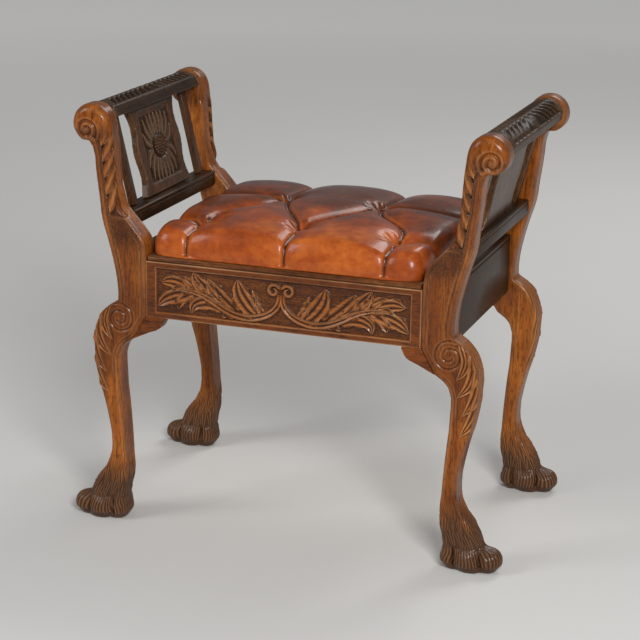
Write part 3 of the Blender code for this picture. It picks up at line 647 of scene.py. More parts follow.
@dataclass(frozen=True)
class Oak(Finish):
    """Polished oak with pores, slow figure, old dark polish in hollows, patches darkened partly as painted
    shade, and ridges lightened by wear and painted highlight.
    """

    grain: Grain
    pale: Colour
    body: Colour
    deep: Colour
    hollow: Colour
    # Colour of worn ridges and of painted highlights.
    rubbed: Colour
    coat: float = 0.22
    coat_rough: float = 0.12
    specular: float = 0.11
    rough: Span = (0.24, 0.40)
    paw: Colour = (0.050, 0.026, 0.015)
    paw_height: float = 0.0
    paw_fade: float = 0.05
    pore_scale: float = 420.0
    pore_stretch: float = 0.07
    fleck_scale: float = 330.0
    fleck_stretch: float = 0.30
    figure_scale: float = 46.0
    cloud_scale: float = 11.0
    prick_scale: float = 430.0

    def lengthwise(self, graph: Graph, stretch: float) -> Socket:
        """Object coordinates drawn out along the grain.

        Args:
            graph: The material's nodes.
            stretch: Scale along the grain.

        Returns:
            The coordinates.
        """
        scale = [1.0, 1.0, 1.0]
        scale[self.grain.value] = stretch
        return graph.stretched(scale)

    def wood(self, graph: Graph, pores: Socket, figure: Socket, clouds: Socket) -> Socket:
        """Colour of the wood before its ridges lighten and its hollows fill.

        Args:
            graph: The material's nodes.
            pores: The fine pattern along the grain.
            figure: The slow pattern along the grain.
            clouds: The pattern across the whole piece.

        Returns:
            The colour.
        """
        tone = graph.weighted((figure, 0.6), (clouds, 0.4))
        colour = graph.ramp(tone, ((0.34, self.deep), (0.50, self.body), (0.68, self.pale)))
        flecks = graph.noise(self.lengthwise(graph, self.fleck_stretch), self.fleck_scale, 2.0)
        layers = [
            (graph.scaled(graph.mark("combed"), 0.45), self.pale),
            # Darker where the mesh marks it: partly old polish, partly painted shade.
            (graph.scaled(graph.mark("aged"), 0.55), self.deep),
            (graph.spread(pores, 0.34, 0.48, 0.6, 0.0), self.hollow),
            (graph.spread(flecks, 0.36, 0.50, 0.42, 0.0), self.hollow),
        ]
        if self.paw_height > 0.0:
            wavy = graph.weighted((graph.axis("Z"), 1.0), (clouds, 0.05))
            fade_top = self.paw_height + self.paw_fade
            layers.append((graph.spread(wavy, self.paw_height, fade_top, 0.88, 0.0), self.paw))
        for share, tint in layers:
            colour = graph.mix(share, colour, tint)
        return colour

    def lay(self, graph: Graph) -> None:
        """Lay the wood's colour, its wear with painted highlights and its fine relief.

        Args:
            graph: The material's nodes.
        """
        lengthwise = self.lengthwise(graph, self.pore_stretch)
        pores = graph.noise(lengthwise, self.pore_scale, 3.0)
        figure = graph.noise(lengthwise, self.figure_scale, 4.0, 0.6)
        clouds = graph.noise(graph.coordinates, self.cloud_scale, 3.0)
        punched, combed = graph.mark("punched"), graph.mark("combed")
        pricks = graph.scaled(graph.spread(graph.cells(self.prick_scale), 0.10, 0.55, 1.0, 0.0), punched)
        wave = graph.sum("ABSOLUTE", graph.sum("SINE", graph.scaled(graph.mark("strand"), math.pi)))
        veins = graph.scaled(graph.spread(wave, 0.25, 0.80, 1.0, 0.0), combed)
        # Painted highlight along the crest of each carved strand.
        crest_highlights = graph.scaled(graph.spread(wave, 0.86, 1.0, 0.0, 0.45), combed)
        # Lighten worn ridges, pale rims and strand crests, patchily: partly wear, partly painted highlight.
        lightened = graph.sum("ADD", graph.mark("rubbed"), crest_highlights)
        lightened = graph.scaled(lightened, graph.spread(clouds, 0.35, 0.65, 0.35, 0.95))
        dark = graph.weighted((graph.mark("hollow"), 1.0), (pricks, 0.55), (veins, 0.80), (punched, 0.46))
        dark = graph.sum("MINIMUM", dark, 0.95)
        colour = graph.mix(lightened, self.wood(graph, pores, figure, clouds), self.rubbed)
        graph.paint("Base Color", graph.mix(dark, colour, self.hollow))
        wear = graph.weighted((clouds, 0.6), (figure, 0.4))
        rough = graph.spread(wear, 0.35, 0.65, *self.rough)
        graph.paint("Roughness", graph.weighted((rough, 1.0), (dark, 0.20)))
        graph.gloss(self.coat, self.coat_rough, self.specular)
        relief = graph.weighted((pores, 0.35), (pricks, -1.6), (veins, -1.2), (figure, 0.5))
        graph.bump(relief, 0.40, 0.0006)


@dataclass(frozen=True)
class Leather(Finish):
    """Antiqued tan hide: mottled dye, pebble grain, painted shade in the pleats and towards the rear, and
    swells lightened by wear and painted highlight.
    """

    bright: Colour
    tan: Colour
    brown: Colour
    pleat: Colour
    dye_scale: float = 12.0
    speck_scale: float = 75.0
    pebble_scale: float = 760.0
    rough: Span = (0.27, 0.40)

    def lay(self, graph: Graph) -> None:
        """Lay the dye with painted shade towards the rear, then the wear and painted highlights, the pleats'
        painted shade and the pebble grain.

        Args:
            graph: The material's nodes.
        """
        dye = graph.noise(graph.coordinates, self.dye_scale, 5.0, 0.62)
        specks = graph.noise(graph.coordinates, self.speck_scale, 4.0, 0.6)
        # Painted shade: darker towards the rear of the seat.
        rear_shade = graph.spread(graph.axis("Y"), -0.20, 0.05, 0.08, -0.15)
        tone = graph.weighted((dye, 0.78), (specks, 0.22), (rear_shade, 1.0))
        colour = graph.ramp(tone, ((0.36, self.brown), (0.53, self.tan), (0.70, self.bright)))
        # Swells and pleat lips lighten towards bright: wear, and painted highlight along the lips.
        colour = graph.mix(graph.scaled(graph.mark("rubbed"), 0.55), colour, self.bright)
        # Hollows and pleat lines darken towards the pleat colour: painted shade in the creases and button
        # wells.
        hollow = graph.sum("MINIMUM", graph.mark("hollow"), 0.94)
        graph.paint("Base Color", graph.mix(hollow, colour, self.pleat))
        graph.paint("Roughness", graph.spread(specks, 0.3, 0.7, *self.rough))
        graph.gloss(0.24, 0.14, 0.14)
        pebbles = graph.weighted((graph.cells(self.pebble_scale), 1.0), (specks, 0.9))
        graph.bump(pebbles, 0.18, 0.0005)


@dataclass(frozen=True)
class Brass(Finish):
    """Aged brass: worn metal with brown tarnish."""

    metal: Colour
    tarnish: Colour
    stain_scale: float = 90.0

    def lay(self, graph: Graph) -> None:
        """Lay the metal and its tarnish.

        Args:
            graph: The material's nodes.
        """
        stain = graph.noise(graph.coordinates, self.stain_scale, 5.0, 0.65)
        graph.paint("Base Color", graph.ramp(stain, ((0.38, self.tarnish), (0.62, self.metal))))
        graph.paint("Roughness", graph.spread(stain, 0.35, 0.7, 0.55, 0.28))
        graph.paint("Metallic", 1.0)
        graph.bump(stain, 0.2, 0.0004)


WARM = {
    "pale": (0.400, 0.122, 0.013),
    "body": (0.230, 0.060, 0.0070),
    "deep": (0.100, 0.024, 0.0042),
    "hollow": (0.018, 0.006, 0.0030),
    "rubbed": (0.43, 0.200, 0.080),
}
RUSSET = {
    "pale": (0.310, 0.088, 0.011),
    "body": (0.165, 0.041, 0.0060),
    "deep": (0.078, 0.0175, 0.0038),
    "hollow": (0.016, 0.0070, 0.0040),
    "rubbed": (0.38, 0.200, 0.095),
}
# A darker copy of the oak: painted shade for the crest rails, lower arm rails, side aprons and ledges.
SHADED_OAK = {
    "pale": (0.066, 0.032, 0.0140),
    "body": (0.037, 0.0175, 0.0078),
    "deep": (0.020, 0.0095, 0.0046),
    "hollow": (0.007, 0.0038, 0.0024),
    "rubbed": (0.17, 0.110, 0.062),
}
# A darker copy of the oak: painted shade for the splats, arm bars and seeds.
SHADED_SPLAT = {
    "pale": (0.125, 0.054, 0.023),
    "body": (0.074, 0.031, 0.013),
    "deep": (0.040, 0.017, 0.0075),
    "hollow": (0.010, 0.005, 0.0030),
    "rubbed": (0.26, 0.170, 0.100),
}
MOULDING = {
    "pale": (0.205, 0.068, 0.016),
    "body": (0.105, 0.032, 0.0080),
    "deep": (0.050, 0.0150, 0.0048),
    "hollow": (0.014, 0.005, 0.0030),
    "rubbed": (0.40, 0.220, 0.105),
}
PINE = {
    "pale": (0.52, 0.34, 0.17),
    "body": (0.42, 0.25, 0.115),
    "deep": (0.30, 0.165, 0.070),
    "hollow": (0.12, 0.060, 0.025),
    "rubbed": (0.55, 0.38, 0.21),
}

POST_OAK = Oak("post_oak", Grain.UPRIGHT, **WARM, paw_height=0.085)
APRON_OAK = Oak("apron_oak", Grain.WIDE, **RUSSET)
# Darker copies of the oak for the arms and side boards: painted shade.
SHADED_SIDE_OAK = Oak("side_oak", Grain.DEEP, **SHADED_OAK, coat=0.10, specular=0.06, rough=(0.30, 0.46))
SHADED_SPLAT_OAK = Oak("splat_oak", Grain.UPRIGHT, **SHADED_SPLAT, coat=0.12, specular=0.08)
LID_OAK = Oak("lid_oak", Grain.WIDE, **MOULDING)
BOX_PINE_WIDE = Oak("box_pine_wide", Grain.WIDE, **PINE, coat=0.0, rough=(0.55, 0.75))
BOX_PINE_DEEP = Oak("box_pine_deep", Grain.DEEP, **PINE, coat=0.0, rough=(0.55, 0.75))
HIDE = Leather(
    "tan_hide",
    bright=(0.47, 0.115, 0.016),
    tan=(0.275, 0.050, 0.0080),
    brown=(0.095, 0.022, 0.0060),
    pleat=(0.012, 0.004, 0.0025),
)
AGED_BRASS = Brass("hinge_brass", (0.48, 0.33, 0.13), (0.12, 0.075, 0.03))


def dress(item: Item, material: bpy.types.Material) -> None:
    """Give an object one material."""
    item.data.materials.clear()
    item.data.materials.append(material)


def fit(item: Item, body: Body, slot: Slot, *nodes: str) -> None:
    """Hand a finished piece to the frame and report it.

    Args:
        item: The piece.
        body: The body that it rides on.
        slot: The finish's name; not used.
        nodes: CAD nodes that it stands for.
    """
    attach(item, body.value)
    if nodes:
        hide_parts(*nodes)
    LOG.info("%s: %d faces on %s", item.name, len(item.data.polygons), body.value)


def add_piece(name: str, mesh: Mesh, finish: Finish, body: Body, slot: Slot, *nodes: str) -> Item:
    """Put a mesh in the scene, dress it and hand it to the frame.

    Args:
        name: Name of the piece.
        mesh: Its mesh.
        finish: Its finish.
        body: The body that it rides on.
        slot: The finish's name.
        nodes: CAD nodes that it stands for.

    Returns:
        The finished piece.
    """
    item = add_object(name, mesh)
    dress(item, finish.material())
    fit(item, body, slot, *nodes)
    return item


# Geometry Nodes


def scatter_tree() -> bpy.types.NodeTree:
    """Build the node tree that sets one shape on many points.

    Returns:
        The tree, with Shape, Size and Finish inputs; points keep their facing as an attribute.
    """
    known = bpy.data.node_groups.get("scatter")
    if known is not None:
        return known
    tree = bpy.data.node_groups.new("scatter", "GeometryNodeTree")
    for name, kind in (
        ("Points", "NodeSocketGeometry"),
        ("Shape", "NodeSocketObject"),
        ("Size", "NodeSocketFloat"),
        ("Finish", "NodeSocketMaterial"),
    ):
        tree.interface.new_socket(name, in_out="INPUT", socket_type=kind)
    tree.interface.new_socket("Pieces", in_out="OUTPUT", socket_type="NodeSocketGeometry")
    names = ("NodeGroupInput", "NodeGroupOutput", "GeometryNodeObjectInfo", "GeometryNodeInstanceOnPoints")
    start, end, shape, place = (tree.nodes.new(name) for name in names)
    facing = tree.nodes.new("GeometryNodeInputNamedAttribute")
    facing.data_type = "FLOAT_VECTOR"
    facing.inputs["Name"].default_value = "facing"
    aim = tree.nodes.new("FunctionNodeAlignRotationToVector")
    aim.axis = "Z"
    realize = tree.nodes.new("GeometryNodeRealizeInstances")
    finish = tree.nodes.new("GeometryNodeSetMaterial")
    for source, target in (
        (start.outputs["Points"], place.inputs["Points"]),
        (start.outputs["Shape"], shape.inputs["Object"]),
        (shape.outputs["Geometry"], place.inputs["Instance"]),
        (facing.outputs["Attribute"], aim.inputs["Vector"]),
        (aim.outputs["Rotation"], place.inputs["Rotation"]),
        (start.outputs["Size"], place.inputs["Scale"]),
        (place.outputs["Instances"], realize.inputs["Geometry"]),
        (realize.outputs["Geometry"], finish.inputs["Geometry"]),
        (start.outputs["Finish"], finish.inputs["Material"]),
        (finish.outputs["Geometry"], end.inputs["Pieces"]),
    ):
        tree.links.new(source, target)
    return tree


def scatter(
    name: str,
    places: Sequence[Vector],
    facings: Sequence[Vector],
    shape: Mesh,
    material: bpy.types.Material,
) -> Item:
    """Set a shape at each place and make the result one plain mesh.

    Args:
        name: Name of the finished object.
        places: Where the shapes go.
        facings: The way each shape's own Z points.
        shape: The shape, about the origin.
        material: Its finish.

    Returns:
        The finished object.
    """
    points = bpy.data.meshes.new(name + "_points")
    points.from_pydata([tuple(place) for place in places], [], [])
    layer = points.attributes.new("facing", "FLOAT_VECTOR", "POINT")
    layer.data.foreach_set("vector", [number for facing in facings for number in facing])
    holder = add_object(name + "_holder", points)
    pattern = add_object(name + "_shape", shape)
    modifier = holder.modifiers.new("scatter", "NODES")
    modifier.node_group = scatter_tree()
    values = {"Shape": pattern, "Size": 1.0, "Finish": material}
    for socket in modifier.node_group.interface.items_tree:
        if socket.name in values and socket.in_out == "INPUT":
            modifier[socket.identifier] = values[socket.name]
    mesh = settle(holder, name)
    bpy.data.objects.remove(pattern, do_unlink=True)
    mesh.shade_smooth()
    return add_object(name, mesh)


def lathe(name: str, profile: Sequence[Point], sides: int) -> Mesh:
    """Turn a profile about Z into a closed mesh.

    Args:
        name: Name of the mesh.
        profile: Radius and height pairs from the bottom middle to the top middle.
        sides: Facets round the axis.

    Returns:
        The turned mesh.
    """
    bm = bmesh.new()
    verts = [bm.verts.new((radius, 0.0, height)) for radius, height in profile]
    edges = [bm.edges.new(pair) for pair in zip(verts, verts[1:])]
    bmesh.ops.spin(
        bm,
        geom=[*verts, *edges],
        cent=(0.0, 0.0, 0.0),
        axis=(0.0, 0.0, 1.0),
        angle=math.tau,
        steps=sides,
        use_merge=True,
    )
    bmesh.ops.remove_doubles(bm, verts=bm.verts, dist=WELD)
    bmesh.ops.recalc_face_normals(bm, faces=bm.faces)
    return finished(name, bm)


# Carved relief


@dataclass
class Carving:
    """What carving gives each place: height, strand count across, share combed and share of pale rim, which
    lightens the wood partly as wear and partly as painted highlight.
    """

    height: Array
    strand: Array
    combed: Array
    rim: Array

    @classmethod
    def plain(cls, count: int) -> "Carving":
        """Carving that leaves a number of places as they are."""
        return cls(*(np.zeros(count) for _ in range(4)))

    def lay(self, where: Array, other: "Carving", share: Array) -> None:
        """Lay another carving over this one.

        Args:
            where: Which places the other covers.
            other: The other carving, at those places only.
            share: How fully it shows at those places.
        """
        self.height[where] += other.height * share
        self.combed[where] = np.maximum(self.combed[where], other.combed * share)
        self.strand[where] = np.where(other.combed * share > 0.0, other.strand, self.strand[where])
        self.rim[where] = np.maximum(self.rim[where], other.rim * share)


@dataclass(frozen=True)
class Leaf:
    """One carved lobe: a bent spine with a width, scooped between raised rims and veined along."""

    spine: tuple[Point, ...]
    width: float
    rise: float
    veins: int
    base: float
    scoop: float
    widest: float = 0.5
    tip: float = 2.0
    rim: float = 0.0008
    wavy: float = 0.0

    def carve(self, places: Array) -> Carving:
        """Work out the lobe over its ground.

        Args:
            places: Flat places, one in a row.

        Returns:
            The lobe's carving, plain outside the lobe.
        """
        distance, share, side = near_path(places, bent_path(self.spine))
        swell = self.base + (1.0 - self.base) * np.sin(np.clip(share / self.widest, 0.0, 1.0) * math.pi / 2)
        closing = np.clip((share - self.widest) / (1.0 - self.widest), 0.0, 1.0)
        half = self.width / 2 * swell * (1.0 - closing**self.tip)
        gap = half * (1.0 + self.wavy * np.sin(share * 17.0 + 1.2 * side)) - distance
        inside = ease(-self.rim * 0.7, self.rim * 0.9, gap) * ease(0.0, 0.12, share)
        across = np.clip(distance / np.maximum(half, 1e-5), 0.0, 1.0)
        strand = (side * across + 1.0) / 2 * (self.veins + 1)
        flutes = 0.22 * (np.abs(np.sin(math.pi * strand)) - 0.6) * (1.0 - across**4)
        body = 1.0 - self.scoop * (1.0 - across**2) + flutes
        # A pale rim just inside the lobe's edge: partly wear, partly painted highlight.
        rim = 0.7 * bell(gap - self.rim, self.rim) * ease(0.05, 0.20, share)
        return Carving(self.rise * inside * body, strand, inside, rim)


def relief(places: Array, leaves: Sequence[Leaf]) -> Carving:
    """Lay lobes over each other, the highest on top.

    Args:
        places: Flat places, one in a row.
        leaves: The lobes.

    Returns:
        The carving of all the lobes.
    """
    result = Carving.plain(len(places))
    for leaf in leaves:
        lobe = leaf.carve(places)
        over = lobe.height > result.height
        for name in ("height", "strand", "combed", "rim"):
            setattr(result, name, np.where(over, getattr(lobe, name), getattr(result, name)))
    return result


@dataclass(frozen=True)
class Line:
    """A line along an edge: how far in from the edge it lies, and half its width."""

    place: float
    half: float

    def at(self, edge: Array) -> Array:
        """Share of the line at distances from the edge."""
        return bell(edge - self.place, self.half)


@dataclass
class PostField:
    """Where each point of a post lies: against its outline, its front face and its inner side."""

    places: Array
    normals: Array
    edge: Array
    outward: Array
    face: float

    @property
    def flat(self) -> Array:
        """Places in the plank's own plane."""
        return self.places[:, [0, 2]]

    @property
    def upright(self) -> Array:
        """Heights over the floor."""
        return self.places[:, 2]

    @property
    def deep(self) -> Array:
        """Depths behind the front face."""
        return np.abs(self.places[:, 1] + self.face)

    @property
    def front(self) -> Array:
        """How far each point faces the front, from 0 to 1."""
        return ease(0.15, 0.75, -self.normals[:, 1])

    @property
    def inner(self) -> Array:
        """Whether the nearest outline is on the seat's side."""
        return self.outward[:, 0] < 0.0


@dataclass
class LegPosts:
    """Four leg posts, each one plank from paw to scrolled arm, carved on the outward face."""

    face: float = 0.215
    plank: float = 0.044
    voxel: float = 0.0021
    smooth_passes: int = 64
    smooth_span: Span = (0.036, 0.062)
    smooth_fade: float = 0.014
    fine_span: Span = (0.215, 0.395)
    fine_depth: float = 0.006
    fine_scroll: float = 0.02
    band_depth: float = 0.004
    band_side: float = 0.31
    arris: float = 0.0018
    leg_round: float = 0.0045
    knee_round: float = 0.0040
    scroll_round: float = 0.0105
    band_round: float = 0.0070
    bracket_drop: float = 0.030
    leg_top: Span = (0.300, 0.325)
    ankle: Span = (0.095, 0.12)
    worn_start: Span = (0.085, 0.11)
    knee_swell: Span = (0.300, 0.375)
    scroll_start: Span = (0.640, 0.660)
    patina_and_shade_span: Span = (0.268, 0.655)
    patina_and_shade_fade: float = 0.035
    roll_span: Span = (0.630, 0.655)
    wrap_span: Span = (0.014, 0.023)
    arm_span: Span = (0.500, 0.650)
    arm_fade: float = 0.03
    ground_span: Span = (0.500, 0.645)
    outer_run: Span = (0.388, 0.640)
    inner_run: Span = (0.268, 0.500)
    side_run: Span = (0.400, 0.640)
    ridge_highlight_run: Span = (0.125, 0.300)
    volute_reach: float = 0.026
    volute_depth: float = 0.0035
    scroll: Point = (0.330, 0.677)
    scroll_eye: Point = (0.337, 0.668)
    scroll_dome: float = 0.0030
    scroll_radius: float = 0.030
    scroll_spiral: Spiral = (0.0185, 0.0040, 1.4, 222.0)
    scroll_span: Span = (0.63, 0.72)
    knee_eye: Point = (0.2815, 0.357)
    knee_spiral: Spiral = (0.0270, 0.0050, 1.75, 70.0)
    knee_span: Span = (0.325, 0.392)
    scroll_groove: float = 0.0036
    scroll_groove_half: float = 0.0024
    knee_groove: float = 0.0021
    knee_groove_half: float = 0.0015
    eye_rise: float = 0.0014
    eye_radius: float = 0.0042
    band: Span = (0.532, 0.668)
    band_width: float = 0.0215
    band_wrap: float = 0.020
    strokes: int = 5
    stroke_top: float = 0.643
    stroke_pitch: float = 0.0268
    stroke_width: float = 0.0180
    stroke_rise: float = 0.0050
    stroke: tuple[Point, ...] = (
        (-0.0170, 0.0500),
        (-0.0080, 0.0390),
        (0.0030, 0.0230),
        (0.0130, 0.0070),
        (0.0205, -0.0050),
    )
    band_sunk: float = 0.0030
    ground_sunk: float = 0.0006
    bead: Line = Line(0.0105, 0.0011)
    bead_lip: Line = Line(0.0127, 0.0010)
    bead_depth: float = 0.0016
    outer_line: Line = Line(0.0042, 0.0008)
    inner_line: Line = Line(0.0075, 0.0009)
    inner_lip: Line = Line(0.0094, 0.0009)
    side_line: Line = Line(0.0085, 0.0011)
    ridge_highlight_line: Line = Line(0.0040, 0.0018)
    line_depth: float = 0.0011
    knee_lobes: tuple[tuple[tuple[Point, ...], float], ...] = (
        (((0.2985, 0.3820), (0.3090, 0.3560), (0.3050, 0.3350), (0.2950, 0.3200)), 0.0165),
        (((0.3140, 0.3760), (0.3225, 0.3400), (0.3150, 0.3120), (0.2960, 0.2910)), 0.0205),
        (((0.3270, 0.3480), (0.3290, 0.3130), (0.3215, 0.2850), (0.3060, 0.2620)), 0.0195),
        (((0.3310, 0.3080), (0.3270, 0.2750), (0.3180, 0.2500), (0.3020, 0.2260)), 0.0175),
    )
    knee_rise: float = 0.0034
    lobe_span: Span = (0.205, 0.400)
    comb_span: Span = (0.235, 0.375)
    comb_pitch: float = 0.0055
    comb_slant: float = 18.0
    comb_rise: float = 0.0012
    hair_top: float = 0.126
    crease: float = 0.045
    toes: tuple[tuple[Point, Point], ...] = (
        ((0.3496, 0.0), (0.0230, 0.0230)),
        ((0.3200, -0.0133), (0.0270, 0.0168)),
        ((0.3200, 0.0133), (0.0270, 0.0168)),
        ((0.2890, 0.0), (0.0210, 0.0264)),
    )
    shank_heights: tuple[float, ...] = (0.045, 0.080, 0.150)
    shank_middles: tuple[float, ...] = (0.312, 0.302, 0.288)
    shank_halves: tuple[float, ...] = (0.034, 0.025, 0.019)
    toe_streaks: float = 8.6
    locks: float = 2.55
    lock_length: float = 0.027
    lock_rise: float = 0.0020
    hair_rise: float = 0.0012
    knuckle_rise: float = 0.0030
    knuckle_span: Span = (0.016, 0.036)
    cleft_depth: float = 0.0036

    def build(self) -> None:
        """Carve the right front post and make the other three from it."""
        mesh = remeshed_copy("front_right_leg_post", self.voxel)
        blank = Skin(mesh)
        blank.relax(3)
        blank.relax(self.smooth_passes, within(*self.smooth_span, self.smooth_fade, blank.places[:, 2]))
        refine(mesh, self.is_fine)
        skin = Skin(mesh)
        skin.relax(1)
        self.carve(skin)
        mesh.shade_smooth()
        shapes = {
            "front_right": mesh,
            "front_left": turned_copy(mesh, "front_left", MIRROR_X),
            "back_left": turned_copy(mesh, "back_left", HALF_TURN),
        }
        shapes["back_right"] = turned_copy(shapes["front_left"], "back_right", HALF_TURN)
        for corner, shape in shapes.items():
            add_piece(f"carved_{corner}_post", shape, POST_OAK, Body.FRAME, Slot.OAK, f"{corner}_leg_post")

    def is_fine(self, middle: Vector) -> bool:
        """Say whether the carving at a face is fine.

        Args:
            middle: The face's middle.

        Returns:
            True where the face is to be split.
        """
        if middle.z < self.hair_top:
            return True
        depth = middle.y + self.face
        if self.band[0] < middle.z < self.scroll[1] + self.fine_scroll:
            return depth < self.band_depth or (depth < self.band_wrap and middle.x < self.band_side)
        low, high = self.fine_span
        return depth < self.fine_depth and low < middle.z < high

    def carve(self, skin: Skin) -> None:
        """Round the plank's edges, then cut each part of the carving.

        Args:
            skin: The post's points, which are moved and marked.
        """
        edge, outward = self.outline(skin)
        self.clear_face(skin)
        self.round_edges(skin, edge, outward)
        area = PostField(skin.places.copy(), skin.normals.copy(), edge, outward, self.face)
        carving = Carving.plain(len(skin.places))
        for cut in (self.beads, self.volutes, self.arm_leaves, self.knee, self.paw):
            cut(area, carving)
        skin.push(carving.height)
        skin.weather(2.4, rims=carving.rim)
        skin.mark("strand", carving.strand)
        skin.mark("combed", carving.combed)
        skin.mark("punched", self.ground(area) * (1.0 - carving.combed))
        # Darken the front from the knee up, the scroll's rolled top and the arm's wrapped inner edge: partly
        # patina, partly painted shade.
        aged = area.front * within(*self.patina_and_shade_span, self.patina_and_shade_fade, area.upright)
        aged *= 1.0 - 0.6 * carving.combed
        roll = (1.0 - area.front) * ease(*self.roll_span, area.upright)
        wrapped = area.inner * (1.0 - ease(*self.wrap_span, area.deep))
        arm = wrapped * within(*self.arm_span, self.arm_fade, area.upright)
        skin.mark("aged", np.maximum(np.maximum(aged, roll), 0.95 * arm))

    def outline(self, skin: Skin) -> tuple[Array, Array]:
        """Measure each point against the plank's outline.

        Args:
            skin: The post's points.

        Returns:
            Distance to the outline, and the outline's outward direction there.
        """
        middle = self.face - self.plank / 2
        side = (np.abs(skin.normals[:, 1]) < 0.25) & (np.abs(skin.places[:, 1] + middle) < self.plank * 0.2)
        rim = np.flatnonzero(side)
        tree = KDTree(len(rim))
        for index, (x, _, z) in zip(rim, skin.places[rim]):
            tree.insert((x, 0.0, z), int(index))
        tree.balance()
        found = [tree.find((x, 0.0, z)) for x, _, z in skin.places]
        edge = np.array([hit[2] for hit in found])
        outward = skin.normals[[hit[1] for hit in found]][:, [0, 2]]
        return edge, outward / np.linalg.norm(outward, axis=1)[:, None]

    def clear_face(self, skin: Skin) -> None:
        """Fill the plain grooves of the solid's volutes, which are cut again finer.

        Args:
            skin: The post's points, which are moved.
        """
        flat = skin.places[:, [0, 2]]
        for eye in (self.scroll_eye, self.knee_eye):
            near = np.hypot(*(flat - np.array(eye)).T) < self.volute_reach
            shallow = near & (skin.places[:, 1] < -self.face + self.volute_depth)
            skin.places[shallow, 1] = -self.face
        skin.write()

    def round_edges(self, skin: Skin, edge: Array, outward: Array) -> None:
        """Wear the plank's long edges round, more on the scroll, the carved band and the leg.

        Args:
            skin: The post's points, which are moved.
            edge: Distance of each point to the outline.
            outward: The outline's outward direction.
        """
        upright = skin.places[:, 2]
        inner = outward[:, 0] < 0.0
        bracket = np.where(inner, self.bracket_drop, 0.0)
        leg = (1.0 - ease(*self.leg_top, upright + bracket)) * ease(*self.ankle, upright)
        knee = within(*self.knee_swell, 0.02, upright) * ~inner
        top = ease(*self.scroll_start, upright)
        band = within(*self.band, 0.015, upright) * inner
        plain = self.arris + self.leg_round * leg + self.knee_round * knee + self.scroll_round * top
        for facing, plane, carved in ((1.0, -self.face, band), (-1.0, self.plank - self.face, 0.0)):
            depth = np.abs(skin.places[:, 1] - plane)
            radius = plain + self.band_round * carved * (1.0 - top)
            across = np.clip(radius - edge, 0.0, None)
            into = np.clip(radius - depth, 0.0, None)
            reach = np.hypot(across, into)
            excess = np.where(reach > radius, 1.0 - radius / np.maximum(reach, 1e-9), 0.0)
            excess *= ease(*self.worn_start, upright)
            skin.places[:, 0] -= outward[:, 0] * across * excess
            skin.places[:, 2] -= outward[:, 1] * across * excess
            skin.places[:, 1] += facing * into * excess
        skin.write()

    def ground(self, area: PostField) -> Array:
        """Share of punched ground at each point of the arm's front face."""
        clear = np.where(area.inner, 1.0, ease(self.bead.place, self.bead.place + 0.0015, area.edge))
        return ease(0.5, 0.9, -area.normals[:, 1]) * within(*self.ground_span, 0.035, area.upright) * clear

    def beads(self, area: PostField, carving: Carving) -> None:
        """Cut a bead and lines along the edges, with pale lips that are partly painted highlight, and paint
        a highlight line along the leg's inner ridge.

        Args:
            area: The post's points.
            carving: The carving so far, which is added to.
        """
        run = within(*self.outer_run, 0.010, area.upright) * ~area.inner * area.front
        outer = run * (self.bead.at(area.edge) + 0.6 * self.outer_line.at(area.edge))
        down = within(*self.inner_run, 0.012, area.upright) * area.inner * area.front
        inner = down * self.inner_line.at(area.edge)
        narrow = np.abs(area.normals[:, 0]) * (1.0 - area.front)
        narrow *= within(*self.side_run, 0.015, area.upright)
        rear = self.plank - area.deep
        sides = narrow * (self.side_line.at(area.deep) + self.side_line.at(rear))
        carving.height -= self.bead_depth * outer + self.line_depth * (inner + sides)
        # Pale lips beside the bead and inner line, partly wear and partly painted highlight, and a painted
        # highlight line along the leg's inner ridge.
        pale = run * self.bead_lip.at(area.edge) + down * self.inner_lip.at(area.edge)
        ridge_highlight = within(*self.ridge_highlight_run, 0.03, area.upright) * area.inner * self.ridge_highlight_line.at(area.edge)
        carving.rim = np.maximum(carving.rim, 0.50 * pale + 0.42 * ridge_highlight * area.front)

    def volutes(self, area: PostField, carving: Carving) -> None:
        """Dome the scroll and cut the spirals on it and on the knee.

        Args:
            area: The post's points.
            carving: The carving so far, which is added to.
        """
        scroll = spiral_path(self.scroll_eye, *self.scroll_spiral, -1)
        knee = spiral_path(self.knee_eye, *self.knee_spiral, 1)
        disc = np.hypot(*(area.flat - np.array(self.scroll)).T) / self.scroll_radius
        carving.height += self.scroll_dome * np.clip(1.0 - disc**2, 0.0, 1.0) * area.front
        for path, (low, high), depth, spread in (
            (scroll, self.scroll_span, self.scroll_groove, self.scroll_groove_half),
            (knee, self.knee_span, self.knee_groove, self.knee_groove_half),
        ):
            near = (area.upright > low) & (area.upright < high) & (area.front > 0.05)
            distance = near_path(area.flat[near], path)[0]
            carving.height[near] -= depth * bell(distance, spread) * area.front[near]
            # A pale line beside each groove: partly wear, partly painted highlight.
            pale = bell(distance - 2.0 * spread, 0.6 * spread) * area.front[near]
            carving.rim[near] = np.maximum(carving.rim[near], 0.5 * pale)
            eye = np.hypot(*(area.flat[near] - path[-1]).T)
            carving.height[near] += self.eye_rise * bell(eye, self.eye_radius) * area.front[near]

